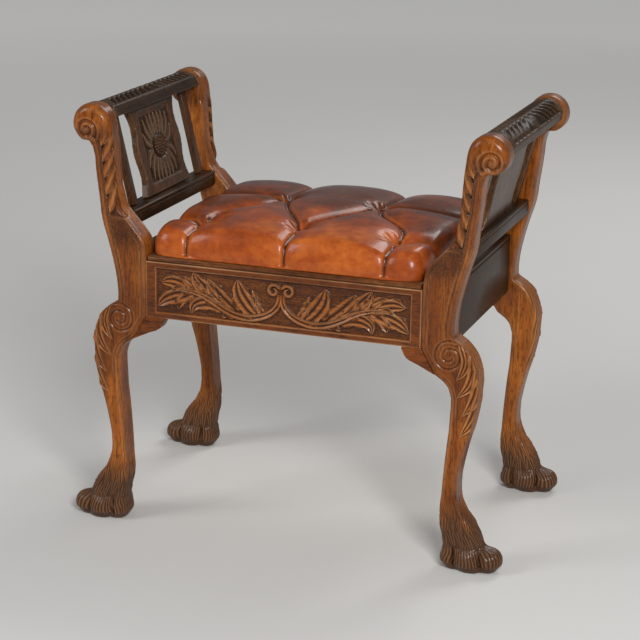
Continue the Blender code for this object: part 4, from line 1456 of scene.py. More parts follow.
    def arm_leaves(self, area: PostField, carving: Carving) -> None:
        """Carve slanting leaves that wrap the arm's inner edge over a sunk ground.

        Args:
            area: The post's points.
            carving: The carving so far, which is added to.
        """
        across = area.edge - area.deep
        run = ease(self.band[0] - 0.006, self.band[0], area.upright)
        run *= 1.0 - ease(self.band[1] - 0.022, self.band[1] + 0.004, area.upright)
        zone = area.inner & (across < self.band_width + 0.004) & (area.deep < self.band_wrap) & (run > 0.0)
        shown = ease(0.1, 0.5, -area.normals[:, 1] - area.normals[:, 0] * 0.9) * run
        leaves = []
        for index in range(self.strokes):
            tip = self.stroke_top - index * self.stroke_pitch
            spine = tuple((out, tip + up) for out, up in self.stroke)
            width, rise = self.stroke_width, self.stroke_rise
            leaves.append(Leaf(spine, width, rise, veins=0, base=0.55, scoop=0.10, rim=0.0012))
        places = np.column_stack([across[zone], area.upright[zone]])
        carved = relief(places, leaves)
        sunk = within(-self.band_wrap + 0.004, self.band_width - 0.002, 0.003, across[zone])
        carved.height = carved.height - self.band_sunk * sunk
        carved.rim = 0.5 * carved.rim
        carving.lay(zone, carved, shown[zone])
        carving.height -= self.ground_sunk * self.ground(area)

    def knee(self, area: PostField, carving: Carving) -> None:
        """Carve the leaf lobes on the knee and comb the knee's outer side.

        Args:
            area: The post's points.
            carving: The carving so far, which is added to.
        """
        low, high = self.lobe_span
        zone = (area.upright > low) & (area.upright < high) & (area.front > 0.02)
        leaves = [
            Leaf(spine, width, self.knee_rise, veins=2, base=0.45, scoop=0.80, rim=0.0010)
            for spine, width in self.knee_lobes
        ]
        carving.lay(zone, relief(area.flat[zone], leaves), area.front[zone])
        side = np.clip(area.normals[:, 0], 0.0, 1.0) * (1.0 - area.front) * ~area.inner
        side *= within(*self.comb_span, 0.02, area.upright)
        strand = area.deep / self.comb_pitch + self.comb_slant * area.upright
        carving.height += self.comb_rise * (np.abs(np.sin(math.pi * strand)) - 0.6) * side
        carving.strand = np.where(side > 0.2, strand, carving.strand)
        carving.combed = np.maximum(carving.combed, side)

    def paw(self, area: PostField, carving: Carving) -> None:
        """Part the toes with deep creases and comb hair down the fetlock and over each toe.

        Args:
            area: The post's points.
            carving: The carving so far, which is added to.
        """
        low = area.upright < self.hair_top + 0.022
        x, y, z = area.places[low].T
        y = y + self.face - self.plank / 2
        reach = [
            np.hypot((x - toe_x) / long, (y - toe_y) / wide)
            for (toe_x, toe_y), (long, wide) in self.toes
        ]
        first, second = np.sort(reach, axis=0)[:2]
        toe = 1.0 - ease(self.crease - 0.014, self.crease + 0.004, z)
        parted = second - first
        cleft = bell(parted, 0.12) + 1.2 * np.clip(1.0 - parted / 0.75, 0.0, 1.0) ** 2
        cleft *= toe * ease(0.002, 0.012, z)
        knuckle = self.knuckle_rise * bell(first - 0.85, 0.35) * within(*self.knuckle_span, 0.008, z) * toe
        middle = np.interp(z, self.shank_heights, self.shank_middles)
        broad = np.interp(z, self.shank_heights, self.shank_halves)
        angle = np.arctan2(y / (self.plank / 2), (x - middle) / broad)
        lock_height, lock_strand = self.hair_locks(angle, z)
        toe_strand = angle * self.toe_streaks + 0.30 * np.sin(z * 150.0 + 3.0 * angle)
        hair = 1.0 - toe
        ridged = toe * ease(0.007, 0.013, z)
        strand = np.where(toe > 0.5, toe_strand, lock_strand)
        waves = np.abs(np.sin(math.pi * strand)) ** 0.7 - 0.6
        covered = np.maximum(hair * ease(0.0, 0.2, lock_height), ridged)
        height = self.lock_rise * lock_height * hair + self.hair_rise * waves * covered + knuckle
        height -= self.cleft_depth * cleft
        carving.height[low] += height
        carving.strand[low] = np.where(covered > 0.02, strand, carving.strand[low])
        carving.combed[low] = np.maximum(carving.combed[low], 0.55 * covered)

    def hair_locks(self, angle: Array, upright: Array) -> tuple[Array, Array]:
        """Lay rows of pointed locks of hair down the fetlock, the upper rows over the lower.

        Args:
            angle: Turn of each point round the leg.
            upright: Height of each point.

        Returns:
            Height of the locks from 0 to 1, and the strand count across each lock.
        """
        height = np.zeros(len(angle))
        strand = np.zeros(len(angle))
        fall = (self.hair_top - upright) / self.lock_length
        for row in range(3, -1, -1):
            place = angle * self.locks + 0.5 * (row % 2) + 0.10 * np.sin(fall * 3.0 + row)
            number = np.round(place)
            share = (fall - row - 0.22 * np.sin(number * 2.4 + row * 1.7)) / 1.55
            half = np.maximum(0.60 * (1.0 - np.clip(share, 0.0, 1.0) ** 1.7), 1e-3)
            across = (place - number) / half
            covers = (share > 0.0) & (share < 1.0) & (np.abs(across) < 1.0)
            dome = np.sqrt(np.clip(1.0 - across**2, 0.0, 1.0)) * (0.55 + 0.45 * share)
            dome *= ease(0.0, 0.25 if row else 1.0, share)
            height = np.where(covers, dome, height)
            strand = np.where(covers, across * 1.5 + 1.5, strand)
        return height, strand


@dataclass
class CarvedAprons:
    """Front and back aprons: a plain border round a punched ground with mirrored leaf scrolls."""

    step: float = 0.0008
    border: float = 0.0100
    end_border: float = 0.0180
    sink: float = 0.0032
    rise: float = 0.0034
    stem: tuple[Point, ...] = (
        (0.0020, 0.0585),
        (0.0032, 0.0386),
        (0.0110, 0.0250),
        (0.0260, 0.0142),
        (0.0440, 0.0085),
        (0.0600, 0.0072),
        (0.0800, 0.0105),
        (0.1010, 0.0190),
        (0.1230, 0.0310),
        (0.1410, 0.0380),
        (0.1600, 0.0415),
        (0.1800, 0.0400),
        (0.1960, 0.0335),
    )
    leaves: tuple[tuple[tuple[Point, ...], float, int], ...] = (
        (((0.030, 0.016), (0.040, 0.028), (0.0512, 0.0380)), 0.0125, 1),
        (((0.034, 0.026), (0.042, 0.040), (0.0494, 0.0535)), 0.0085, 0),
        (((0.038, 0.010), (0.054, 0.024), (0.0665, 0.040), (0.0723, 0.053), (0.075, 0.069)), 0.0290, 2),
        (((0.074, 0.009), (0.0878, 0.0205), (0.1061, 0.0352), (0.1171, 0.0486), (0.1262, 0.065)), 0.0280, 2),
        (((0.108, 0.025), (0.124, 0.039), (0.1376, 0.052), (0.1446, 0.060), (0.1520, 0.0735)), 0.0255, 2),
        (((0.134, 0.037), (0.1464, 0.0453), (0.1600, 0.0560), (0.1711, 0.0660)), 0.0185, 1),
        (((0.152, 0.042), (0.1700, 0.0500), (0.1890, 0.0542), (0.2080, 0.0515)), 0.0215, 2),
        (((0.146, 0.0395), (0.1690, 0.0345), (0.1960, 0.0250), (0.2150, 0.0105)), 0.0240, 2),
        (((0.150, 0.0400), (0.1690, 0.0280), (0.1790, 0.0085)), 0.0170, 1),
        (((0.098, 0.016), (0.1171, 0.0238), (0.1354, 0.024), (0.1501, 0.0165), (0.1545, 0.0030)), 0.0215, 2),
        (((0.066, 0.006), (0.0820, 0.0085), (0.0930, 0.0075), (0.1020, 0.0025)), 0.0110, 1),
    )
    breadth: float = 1.20
    stem_width: float = 0.0120
    stem_lift: float = 0.0018
    volute: Point = (0.0122, 0.0573)
    curl: Spiral = (0.0112, 0.0030, 1.3, 180.0)
    curl_width: float = 0.0062
    curl_lift: float = 0.0010
    recess_gap: float = 0.0002
    edge_fall: float = 0.0008
    edge_run: float = 0.0016
    crisp: float = math.radians(60.0)

    def build(self) -> None:
        """Make the front apron and turn a copy of it for the back."""
        front = self.panel_mesh()
        add_piece("carved_front_apron", front, APRON_OAK, Body.FRAME, Slot.OAK, "front_apron")
        back = self.back_mesh(front)
        add_piece("carved_back_apron", back, APRON_OAK, Body.FRAME, Slot.OAK, "back_apron")

    def lobes(self) -> list[Leaf]:
        """The stem, volute and leaves of one half of the panel.

        Returns:
            The lobes, from the apron's middle outward.
        """
        lobes = [
            Leaf(
                spine,
                width * self.breadth,
                self.rise,
                veins,
                base=0.65,
                scoop=0.80,
                widest=0.45,
                tip=2.6,
                wavy=0.20,
            )
            for spine, width, veins in self.leaves
        ]
        high = self.rise + self.stem_lift
        lobes.append(Leaf(self.stem, self.stem_width, high, veins=1, base=0.8, scoop=0.5, widest=0.4))
        curl = tuple(map(tuple, spiral_path(self.volute, *self.curl, -1)[::3]))
        high = self.rise + self.curl_lift
        lobes.append(Leaf(curl, self.curl_width, high, veins=0, base=1.0, scoop=0.1, tip=6.0))
        return lobes

    def panel_carving(self, wide: Array, tall: Array, size: Point) -> tuple[Carving, Array]:
        """Carving at places on the apron's face.

        Args:
            wide: Distance from the apron's middle.
            tall: Distance from its lower edge.
            size: Half its length, and its height.

        Returns:
            The carving, over the border's face, and how far inside the sunk panel each place lies.
        """
        half, high = size
        level = np.minimum(tall - self.border, high - self.border - tall)
        inside = np.minimum(half - self.end_border - wide, level)
        carving = relief(np.column_stack([wide, tall - self.border]), self.lobes())
        carving.height = (carving.height - self.sink) * ease(-0.0006, 0.0010, inside)
        for name in ("combed", "rim"):
            setattr(carving, name, getattr(carving, name) * ease(0.0, 0.0012, inside))
        # A pale line round the sunk panel's edge: partly wear, partly painted highlight.
        carving.rim = np.maximum(carving.rim, 0.6 * bell(inside + 0.0011, 0.0008))
        return carving, inside

    def panel_mesh(self) -> Mesh:
        """A closed board with the carving on its front.

        Returns:
            The front apron's mesh.
        """
        low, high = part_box("front_apron")
        width, height = high.x - low.x, high.z - low.z
        bm = bmesh.new()
        columns, rows = int(width / self.step), int(height / self.step)
        bmesh.ops.create_grid(bm, x_segments=columns, y_segments=rows, size=0.5)
        flat = np.array([vert.co[:2] for vert in bm.verts])
        wide = np.abs(flat[:, 0]) * width
        tall = (flat[:, 1] + 0.5) * height
        carving, inside = self.panel_carving(wide, tall, (width / 2, height))
        margin = np.minimum(np.minimum(width / 2 - wide, tall), height - tall)
        rise = carving.height - self.edge_fall * (1.0 - ease(0.0, self.edge_run, margin))
        for vert, (x, _), up, out in zip(bm.verts, flat, tall, rise):
            vert.co = (x * width, low.y - out, low.z + up)
        rim = [edge for edge in bm.edges if edge.is_boundary]
        drawn = bmesh.ops.extrude_edge_only(bm, edges=rim)["geom"]
        for vert in drawn:
            if isinstance(vert, bmesh.types.BMVert):
                vert.co.y = high.y
        close_rim(bm)
        mesh = finished("front_apron_carved", bm)
        skin = Skin(mesh)
        sides = np.zeros(len(skin.places) - len(flat))
        ground = ease(0.0, 0.0015, inside) * (1.0 - ease(0.0003, 0.0010, carving.height + self.sink))
        skin.weather(2.2, rims=np.concatenate([carving.rim, sides]))
        for name, values in (
            ("punched", ground),
            ("strand", carving.strand),
            ("combed", carving.combed),
            # Darker on the border outside the sunk panel.
            ("aged", 0.9 * (1.0 - ease(-0.002, 0.0, inside))),
        ):
            skin.mark(name, np.concatenate([values, sides]))
        mesh.shade_smooth()
        mesh.set_sharp_from_angle(angle=self.crisp)
        return mesh

    def back_mesh(self, mesh: Mesh) -> Mesh:
        """A half-turned copy with the hinge leaves let into its top.

        Args:
            mesh: The front apron's mesh.

        Returns:
            The back apron's mesh.
        """
        item = add_object("back_apron_blank", turned_copy(mesh, "back_apron_carved", HALF_TURN))
        gap = Vector((self.recess_gap, self.recess_gap, self.recess_gap))
        cutters = []
        for side in SIDES:
            low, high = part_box(f"{side}_hinge_fixed_leaf")
            bm = bmesh.new()
            size = Matrix.Diagonal((*(high - low + 2 * gap), 1.0))
            middle = Matrix.Translation((high + low) / 2)
            bmesh.ops.create_cube(bm, size=1.0, matrix=middle @ size)
            recess = f"{side}_hinge_recess"
            cutters.append(add_object(recess, finished(recess, bm)))
            cut = item.modifiers.new(side, "BOOLEAN")
            cut.object = cutters[-1]
            cut.solver = "EXACT"
        cut_mesh = settle(item, "back_apron_carved")
        for cutter in cutters:
            bpy.data.objects.remove(cutter, do_unlink=True)
        return cut_mesh


@dataclass
class ArmSides:
    """The filling of each arm: gadrooned crest rail, carved splat, lower rail and bars."""

    lean: float = math.radians(13.5)
    crest: Point = (0.330, 0.677)
    arris: float = 0.0012
    crest_voxel: float = 0.0014
    crest_field: float = 0.155
    crest_line: Line = Line(0.003, 0.0014)
    crest_line_depth: float = 0.0022
    crest_lip: Line = Line(0.0065, 0.0016)
    crest_turns: Span = (-52.0, 58.0)
    outer_turns: Span = (-3.0, 57.0)
    inner_turns: Span = (-11.0, -50.0)
    rib_pitch: float = 0.0240
    rib_slant: float = 0.034
    rib_depth: float = 0.0040
    voxel: float = 0.0013
    splat_foot: Point = (0.28895, 0.531)
    panel_half: Point = (0.059, 0.059)
    panel_middle: float = 0.0765
    panel_out: float = 0.0024
    splat_rise: float = 0.0030
    boss: Point = (0.0250, 0.0205)
    boss_rise: float = 0.0046
    seed_radius: float = 0.0029
    seed_splay: float = 12.0
    seed_rings: tuple[int, ...] = (1, 6, 12, 18)
    leaves: tuple[tuple[tuple[Point, ...], float], ...] = (
        (((0.0000, 0.018), (0.0000, 0.032), (0.0012, 0.046), (0.0000, 0.060)), 0.0125),
        (((0.0090, 0.018), (0.0120, 0.032), (0.0150, 0.046), (0.0135, 0.060)), 0.0125),
        (((0.0170, 0.014), (0.0230, 0.028), (0.0280, 0.042), (0.0285, 0.058)), 0.0135),
        (((0.0220, 0.009), (0.0330, 0.020), (0.0420, 0.034), (0.0450, 0.052)), 0.0140),
        (((0.0240, 0.003), (0.0360, 0.006), (0.0480, 0.014), (0.0560, 0.030)), 0.0130),
    )

    def build(self) -> None:
        """Build both arms' fillings."""
        crest = self.crest_mesh()
        splat = self.splat_mesh()
        for side, change in (("right", Matrix.Identity(4)), ("left", MIRROR_X)):
            for name, shape, finish in (("crest_rail", crest, SHADED_SIDE_OAK), ("splat", splat, SHADED_SPLAT_OAK)):
                node = f"{side}_{name}"
                turned = turned_copy(shape, node, change)
                add_piece(f"carved_{node}", turned, finish, Body.FRAME, Slot.OAK, node)
            self.add_seeds(side, change)
            for name, finish in (
                ("lower_arm_rail", SHADED_SIDE_OAK),
                ("front_arm_bar", SHADED_SPLAT_OAK),
                ("back_arm_bar", SHADED_SPLAT_OAK),
            ):
                node = f"{side}_{name}"
                add_piece(f"worn_{node}", eased_copy(node, self.arris), finish, Body.FRAME, Slot.OAK, node)

    def splat_axes(self) -> tuple[Array, Array, Array]:
        """Axes of the right splat's panel.

        Returns:
            Its upward and inward directions, and its middle.
        """
        sine, cosine = math.sin(self.lean), math.cos(self.lean)
        upward = np.array([sine, 0.0, cosine])
        foot = np.array([self.splat_foot[0], 0.0, self.splat_foot[1]])
        return upward, np.array([-cosine, 0.0, sine]), foot + upward * self.panel_middle

    def crest_mesh(self) -> Mesh:
        """The right crest rail with slanting gadroons that part at its middle.

        Returns:
            The carved mesh.
        """
        mesh = remeshed_copy("right_crest_rail", self.crest_voxel)
        skin = Skin(mesh)
        skin.relax(2)
        x, along, z = skin.places.T
        turn = np.degrees(np.arctan2(x - self.crest[0], z - self.crest[1]) - self.lean)
        away = np.abs(along)
        height = np.zeros(len(skin.places))
        flutes = np.zeros(len(skin.places))
        for (start, end), slant, pitch in (
            (self.outer_turns, self.rib_slant, self.rib_pitch),
            (self.inner_turns, self.rib_slant * 0.5, self.rib_pitch * 0.75),
        ):
            share = (turn - start) / (end - start)
            bowed = slant * (1.3 * share - 0.3 * share**2) * np.clip(away / 0.05, 0.0, 1.0)
            count = (away - bowed) / pitch + 0.5
            field_end = ease(self.crest_field - 0.002, self.crest_field, away)
            cut = within(0.05, 0.95, 0.05, share) * (1.0 - field_end)
            groove = np.abs(np.cos(math.pi * count)) ** 1.1
            height -= self.rib_depth * groove * cut
            flutes = np.maximum(flutes, groove * cut)
        rounded = within(*self.crest_turns, 4.0, turn)
        height -= self.crest_line_depth * self.crest_line.at(away - self.crest_field) * rounded
        skin.push(height)
        # A pale lip beside the end lines: partly wear, partly painted highlight.
        rim = 0.6 * self.crest_lip.at(away - self.crest_field) * rounded
        skin.weather(2.6, rims=rim, grooves=0.75 * ease(0.45, 1.0, flutes))
        mesh.shade_smooth()
        return mesh

    def splat_mesh(self) -> Mesh:
        """The right splat with its boss and leaves carved on the seat side.

        Returns:
            The carved mesh.
        """
        mesh = remeshed_copy("right_splat", self.voxel)
        skin = Skin(mesh)
        skin.relax(2)
        upward, inward, middle = self.splat_axes()
        tall = (skin.places - middle) @ upward
        seat_side = ease(0.5, 0.9, skin.normals @ inward)
        places = np.column_stack([np.abs(skin.places[:, 1]), np.abs(tall)])
        inside = np.minimum(self.panel_half[0] - places[:, 0], self.panel_half[1] - places[:, 1])
        shown = ease(0.0, 0.002, inside) * seat_side
        lobes = [Leaf(spine, width, self.splat_rise, 0, 0.6, 0.3, tip=1.8) for spine, width in self.leaves]
        carving = relief(places, lobes)
        reach = np.hypot(*(places / np.array(self.boss)).T)
        boss = self.boss_rise * np.sqrt(np.clip(1.0 - reach**2, 0.0, 1.0))
        height = np.maximum(carving.height, boss) * shown
        skin.push(height - 0.0004 * shown)
        leafy = shown * ease(0.96, 1.04, reach)
        skin.weather(2.2, rims=carving.rim * leafy, grooves=0.8 * shown * (1.0 - ease(0.96, 1.04, reach)))
        skin.mark("strand", carving.strand)
        skin.mark("combed", carving.combed * leafy)
        skin.mark("punched", shown * (1.0 - ease(0.0003, 0.001, height)))
        mesh.shade_smooth()
        return mesh

    def add_seeds(self, side: str, change: Matrix) -> None:
        """Set rings of seeds on a splat's boss.

        Args:
            side: left or right.
            change: Mirror for the left side.
        """
        upward, inward, middle = self.splat_axes()
        surface = middle + inward * self.panel_out
        places, facings = [], []
        for ring, count in enumerate(self.seed_rings):
            reach = ring / len(self.seed_rings)
            rise = self.boss_rise * math.sqrt(1.0 - reach * reach)
            for index in range(count):
                angle = math.tau * index / count
                out = upward * (math.sin(angle) * self.boss[1])
                out[1] = math.cos(angle) * self.boss[0]
                places.append(Vector(surface + out * reach + inward * rise))
                facings.append(Vector(inward + out * (self.seed_splay * reach)))
        radius = self.seed_radius
        shares = ((0.0, -0.6), (1.0, -0.3), (0.8, 0.3), (0.0, 0.6))
        profile = [(radius * out, radius * up) for out, up in shares]
        shape = lathe("seed", profile, 10)
        seeds = scatter(f"{side}_splat_seeds", places, facings, shape, SHADED_SPLAT_OAK.material())
        seeds.data = turned_copy(seeds.data, seeds.name, change)
        fit(seeds, Body.FRAME, Slot.OAK)


@dataclass
class PlainWoodwork:
    """The plain boards of the box and lid, with their arrises worn."""

    # The side aprons and ledges take the darker oak, which is painted shade.
    dark: tuple[str, ...] = ("left_apron", "right_apron", "left_side_ledge", "right_side_ledge")
    brackets: tuple[str, ...] = tuple(f"{corner}_ear_bracket" for corner in CORNERS)
    tuck: float = 1.05
    lid: tuple[str, ...] = ("lid_board", "lid_front_moulding", "left_lid_batten", "right_lid_batten")
    pine_wide: tuple[str, ...] = ("bottom_board", "front_bearer", "back_bearer")
    pine_deep: tuple[str, ...] = (
        "left_bearer",
        "right_bearer",
        *(f"{corner}_glue_block" for corner in CORNERS),
    )

    def build(self) -> None:
        """Wear and dress every plain board."""
        groups = (
            (self.dark, SHADED_SIDE_OAK, Body.FRAME, Slot.OAK, 0.0012),
            (self.brackets, APRON_OAK, Body.FRAME, Slot.OAK, 0.0007),
            (self.lid, LID_OAK, Body.LID, Slot.OAK, 0.0012),
            (self.pine_wide, BOX_PINE_WIDE, Body.FRAME, Slot.PINE, 0.0008),
            (self.pine_deep, BOX_PINE_DEEP, Body.FRAME, Slot.PINE, 0.0008),
        )
        for nodes, finish, body, slot, edge in groups:
            for node in nodes:
                shape = eased_copy(node, edge)
                if node in self.brackets:
                    self.tuck_in(shape, node)
                add_piece(f"worn_{node}", shape, finish, body, slot, node)

    def tuck_in(self, shape: Mesh, node: str) -> None:
        """Widen a bracket a little, so that it meets the rounded leg with no gap.

        Args:
            shape: The bracket's mesh, which is changed.
            node: Its CAD node.
        """
        low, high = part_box(node)
        middle = (low + high) / 2
        wider = Matrix.Diagonal((self.tuck, 1.0, 1.0, 1.0))
        shape.transform(Matrix.Translation(middle) @ wider @ Matrix.Translation(-middle))


@dataclass
class ButtonedSeat:
    """The stuffed leather seat: swelling diamonds drawn down by five buttons and sewn pleats."""

    cells: int = 140
    crown: float = 0.026
    shoulder: float = 0.042
    top_share: float = 0.74
    shoulder_share: float = 0.915
    side_turn: float = math.radians(106.0)
    squareness: float = 16.0
    bulge: float = 0.006
    pitch_x: float = 0.168
    pitch_y: float = 0.170
    front_row: float = -0.128
    tuft_depth: float = 0.026
    tuft_radius: float = 0.024
    pillow_depth: float = 0.0190
    pillow_reach: float = 0.062
    side_share: float = 0.42
    swell_cap: float = 0.007
    crease_depth: float = 0.0030
    crease_reach: float = 0.0022
    line_width: float = 0.0021
    lip_highlight_place: float = 0.0052
    lip_highlight_width: float = 0.0017
    fold_height: float = 0.0008
    fold_span: Span = (0.010, 0.022)
    fold_fade: float = 0.012
    folds: int = 11
    pressure: float = 4.0
    frames: int = 20
    button_radius: float = 0.0085
    pins: str = "sewn"
    half: Point = (0.0, 0.0)
    base: float = 0.0

    def build(self) -> None:
        """Shape the leather, let it swell, crease it and seat the buttons."""
        low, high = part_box("leather_cover")
        self.half = ((high.x - low.x) / 2 - self.bulge, (high.y - low.y) / 2)
        self.base = low.z
        mesh, hold = self.cover_mesh()
        self.swell(mesh, hold)
        item = add_object("leather_blank", mesh)
        finer = item.modifiers.new("finer", "SUBSURF")
        finer.levels = 1
        finer.render_levels = 1
        smooth = settle(item, "buttoned_leather")
        with editing(smooth) as bm:
            close_rim(bm)
        skin = Skin(smooth)
        self.crease(skin)
        # The pleat's dark line is painted shade in the crease, and the pale lip along one side of it a
        # painted highlight.
        line, lip_highlight = self.sewn_lines(skin)
        skin.weather(1.6, 3, lip_highlight, line)
        smooth.shade_smooth()
        nodes = ("leather_cover", "stuffing_pad")
        seat = add_piece("buttoned_leather_seat", smooth, HIDE, Body.LID, Slot.LEATHER, *nodes)
        self.add_buttons(skin)

    def buttons(self) -> list[Point]:
        """Plan places of the five buttons.

        Returns:
            Three places in the front row, then two behind.
        """
        front = [(column * self.pitch_x, self.front_row) for column in (-1, 0, 1)]
        back = [(column * self.pitch_x, self.front_row + self.pitch_y) for column in (-0.5, 0.5)]
        return front + back

    def pleats(self) -> list[tuple[Point, ...]]:
        """Plan paths of the sewn pleats, from each button to the next or to the edge.

        Returns:
            The places that each path runs through.
        """
        far = 0.30
        front = self.front_row
        rear = front + self.pitch_y
        paths = []
        for hand in (-1, 1):
            end = hand * self.pitch_x
            mid = end / 2
            bends = (mid * 0.35, front + 0.055), (mid * 0.72, front + 0.110)
            paths.append(((0.0, front), *bends, (mid, rear)))
            bends = (end * 0.93, front + 0.060), (end * 0.62, front + 0.118)
            paths.append(((end, front), *bends, (mid, rear)))
            paths.append(((mid, rear), (mid * 1.03, rear + 0.06), (mid * 0.98, far)))
            paths.append(((end, front), (end, -far)))
            paths.append(((end, front), (end + hand * 0.04, front + 0.012), (hand * far, front + 0.022)))
            paths.append(((mid, rear), (mid + hand * 0.07, rear + 0.020), (hand * far, rear + 0.032)))
        paths.append(((0.0, front), (0.0, -far)))
        return paths

    def to_button(self, plan: Array) -> Array:
        """Distance of plan places to the nearest button."""
        return np.min([np.hypot(*(plan - np.array(button)).T) for button in self.buttons()], axis=0)

    def to_pleat(self, plan: Array) -> tuple[Array, Array]:
        """Measure plan places against the nearest pleat.

        Args:
            plan: Plan places, one in a row.

        Returns:
            Distance to the pleat, and side of it (+1 left, -1 right).
        """
        best = np.full(len(plan), np.inf)
        hand = np.zeros(len(plan))
        for path in self.pleats():
            distance, _, side = near_path(plan, bent_path(path))
            hand = np.where(distance < best, side, hand)
            best = np.minimum(distance, best)
        return best, hand

    def pillowed(self, plan: Array) -> Array:
        """How far the leather falls from the crown of each pillow to its sewn pleats."""
        share = np.clip(1.0 - self.to_pleat(plan)[0] / self.pillow_reach, 0.0, 1.0)
        return self.pillow_depth * (1.0 - np.sqrt(1.0 - share**2))

    def tufted(self, plan: Array) -> Array:
        """How far the buttons alone draw the leather in."""
        return self.tuft_depth * np.exp(-((self.to_button(plan) / self.tuft_radius) ** 1.3))

    def sewn_lines(self, skin: Skin) -> tuple[Array, Array]:
        """Find the dark line of each pleat, which is painted shade, and the painted highlight along one side
        of it.

        Args:
            skin: The leather's points.

        Returns:
            Share of painted-shade line and of painted highlight at each point.
        """
        gap, hand = self.to_pleat(skin.places[:, :2])
        over = ease(self.base + 0.001, self.base + 0.004, skin.places[:, 2])
        line = over * bell(gap, self.line_width)
        return line, over * (hand < 0.0) * bell(gap - self.lip_highlight_place, self.lip_highlight_width)

    def cover_mesh(self) -> tuple[Mesh, Array]:
        """The leather before it swells.

        Returns:
            The mesh, open underneath, and how firmly each of its points is sewn down.
        """
        bm = bmesh.new()
        bmesh.ops.create_grid(bm, x_segments=self.cells, y_segments=self.cells, size=1.0)
        flat = np.array([vert.co[:2] for vert in bm.verts])
        half = np.array(self.half)
        ring = np.abs(flat).max(axis=1)
        turn = np.clip((ring - self.top_share) / (1.0 - self.top_share), 0.0, 1.0) * self.side_turn
        level = self.shoulder_share * np.minimum(ring / self.top_share, 1.0)
        spread = level + (1.0 - self.shoulder_share) * np.sin(turn)
        corner = (np.abs(flat) ** self.squareness).sum(axis=1) ** (1.0 / self.squareness)
        plan = flat * (spread / np.maximum(corner, 1e-9))[:, None] * half
        inside = plan / half
        plan[:, 0] *= 1.0 + np.clip(1.0 - inside[:, 1] ** 2, 0.0, 1.0) * self.bulge / half[0] * spread
        dome = np.clip((1.0 - inside[:, 0] ** 2) * (1.0 - inside[:, 1] ** 2), 0.0, 1.0) ** 0.5
        drawn_in = math.cos(self.side_turn)
        rise = (np.cos(turn) - drawn_in) / (1.0 - drawn_in)
        height = (self.shoulder + self.crown * dome) * rise
        drop = np.maximum(self.pillowed(plan), self.tufted(plan)) * ease(0.0, 0.10, rise)
        away = flat / np.maximum(ring, 1e-9)[:, None]
        away = away * (np.abs(away) > 0.96)
        tilt = np.sin(np.minimum(turn, math.pi / 2))
        plan -= away * (drop * tilt * self.side_share)[:, None]
        height -= drop * np.cos(np.minimum(turn, math.pi / 2))
        for vert, (x, y), z in zip(bm.verts, plan, height):
            vert.co = (x, y, self.base + z)
        mesh = finished("leather_blank", bm)
        hold = np.maximum(drop / self.pillow_depth, 1.0 - ease(0.02, 0.18, rise))
        return mesh, np.clip(hold, 0.0, 1.0)

    def swell(self, mesh: Mesh, hold: Array) -> None:
        """Let the stuffing push the leather out between its pleats.

        Args:
            mesh: The leather, which is changed.
            hold: How firmly each point is sewn down, from 0 to 1.
        """
        scene = bpy.context.scene
        item = add_object("leather_cloth", mesh)
        group = item.vertex_groups.new(name=self.pins)
        for index, weight in enumerate(hold):
            group.add([index], float(weight), "REPLACE")
        cloth = item.modifiers.new("stuffing", "CLOTH")
        cloth.settings.use_pressure = True
        cloth.settings.uniform_pressure_force = self.pressure
        cloth.settings.vertex_group_mass = self.pins
        cloth.settings.effector_weights.gravity = 0.0
        cloth.settings.quality = 4
        cloth.point_cache.frame_start = 1
        cloth.point_cache.frame_end = self.frames
        for frame in range(1, self.frames + 1):
            scene.frame_set(frame)
        graph = bpy.context.evaluated_depsgraph_get()
        swollen = bpy.data.meshes.new_from_object(item.evaluated_get(graph))
        before, after = Skin(mesh), Skin(swollen)
        moved = after.places - before.places
        length = np.linalg.norm(moved, axis=1)
        share = np.minimum(1.0, self.swell_cap / np.maximum(length, 1e-9))
        before.places += moved * share[:, None]
        before.places[:, 2] = np.maximum(before.places[:, 2], self.base)
        before.write()
        scene.frame_set(1)
        bpy.data.objects.remove(item, do_unlink=True)
        bpy.data.meshes.remove(swollen)

    def crease(self, skin: Skin) -> None:
        """Cut the fine line of each pleat and the small folds round each button.

        Args:
            skin: The leather's points, which are moved.
        """
        plan = skin.places[:, :2]
        raised = ease(self.base + 0.001, self.base + 0.006, skin.places[:, 2])
        deeper = 1.0 + 0.8 * np.exp(-self.to_button(plan) / 0.045)
        height = -self.crease_depth * np.exp(-self.to_pleat(plan)[0] / self.crease_reach) * deeper
        for x, y in self.buttons():
            offset = plan - np.array((x, y))
            reach = np.hypot(*offset.T)
            angle = np.arctan2(offset[:, 1], offset[:, 0])
            folds = np.sin(angle * self.folds + 0.7 * np.sin(angle * 3.0 + x * 20.0))
            height += self.fold_height * folds * within(*self.fold_span, self.fold_fade, reach)
        skin.push(height * raised)

    def add_buttons(self, skin: Skin) -> None:
        """Seat a covered button in each tuft.

        Args:
            skin: The leather's points.
        """
        radius = self.button_radius
        profile = (
            (0.0, -0.003),
            (radius * 0.90, -0.0025),
            (radius, -0.0005),
            (radius * 0.94, 0.0010),
            (radius * 0.72, 0.0024),
            (radius * 0.40, 0.0032),
            (0.0, 0.0035),
        )
        places = []
        for x, y in self.buttons():
            near = np.hypot(skin.places[:, 0] - x, skin.places[:, 1] - y) < radius
            top = skin.places[near & (skin.places[:, 2] > self.base + 0.01), 2]
            places.append(Vector((x, y, float(np.median(top)) + 0.001)))
        facings = [Vector((0.0, 0.0, 1.0))] * len(places)
        shape = lathe("covered_button", profile, 28)
        buttons = scatter("leather_buttons", places, facings, shape, HIDE.material())
        fit(buttons, Body.LID, Slot.LEATHER, *(f"seat_button_{index}" for index in range(1, 6)))


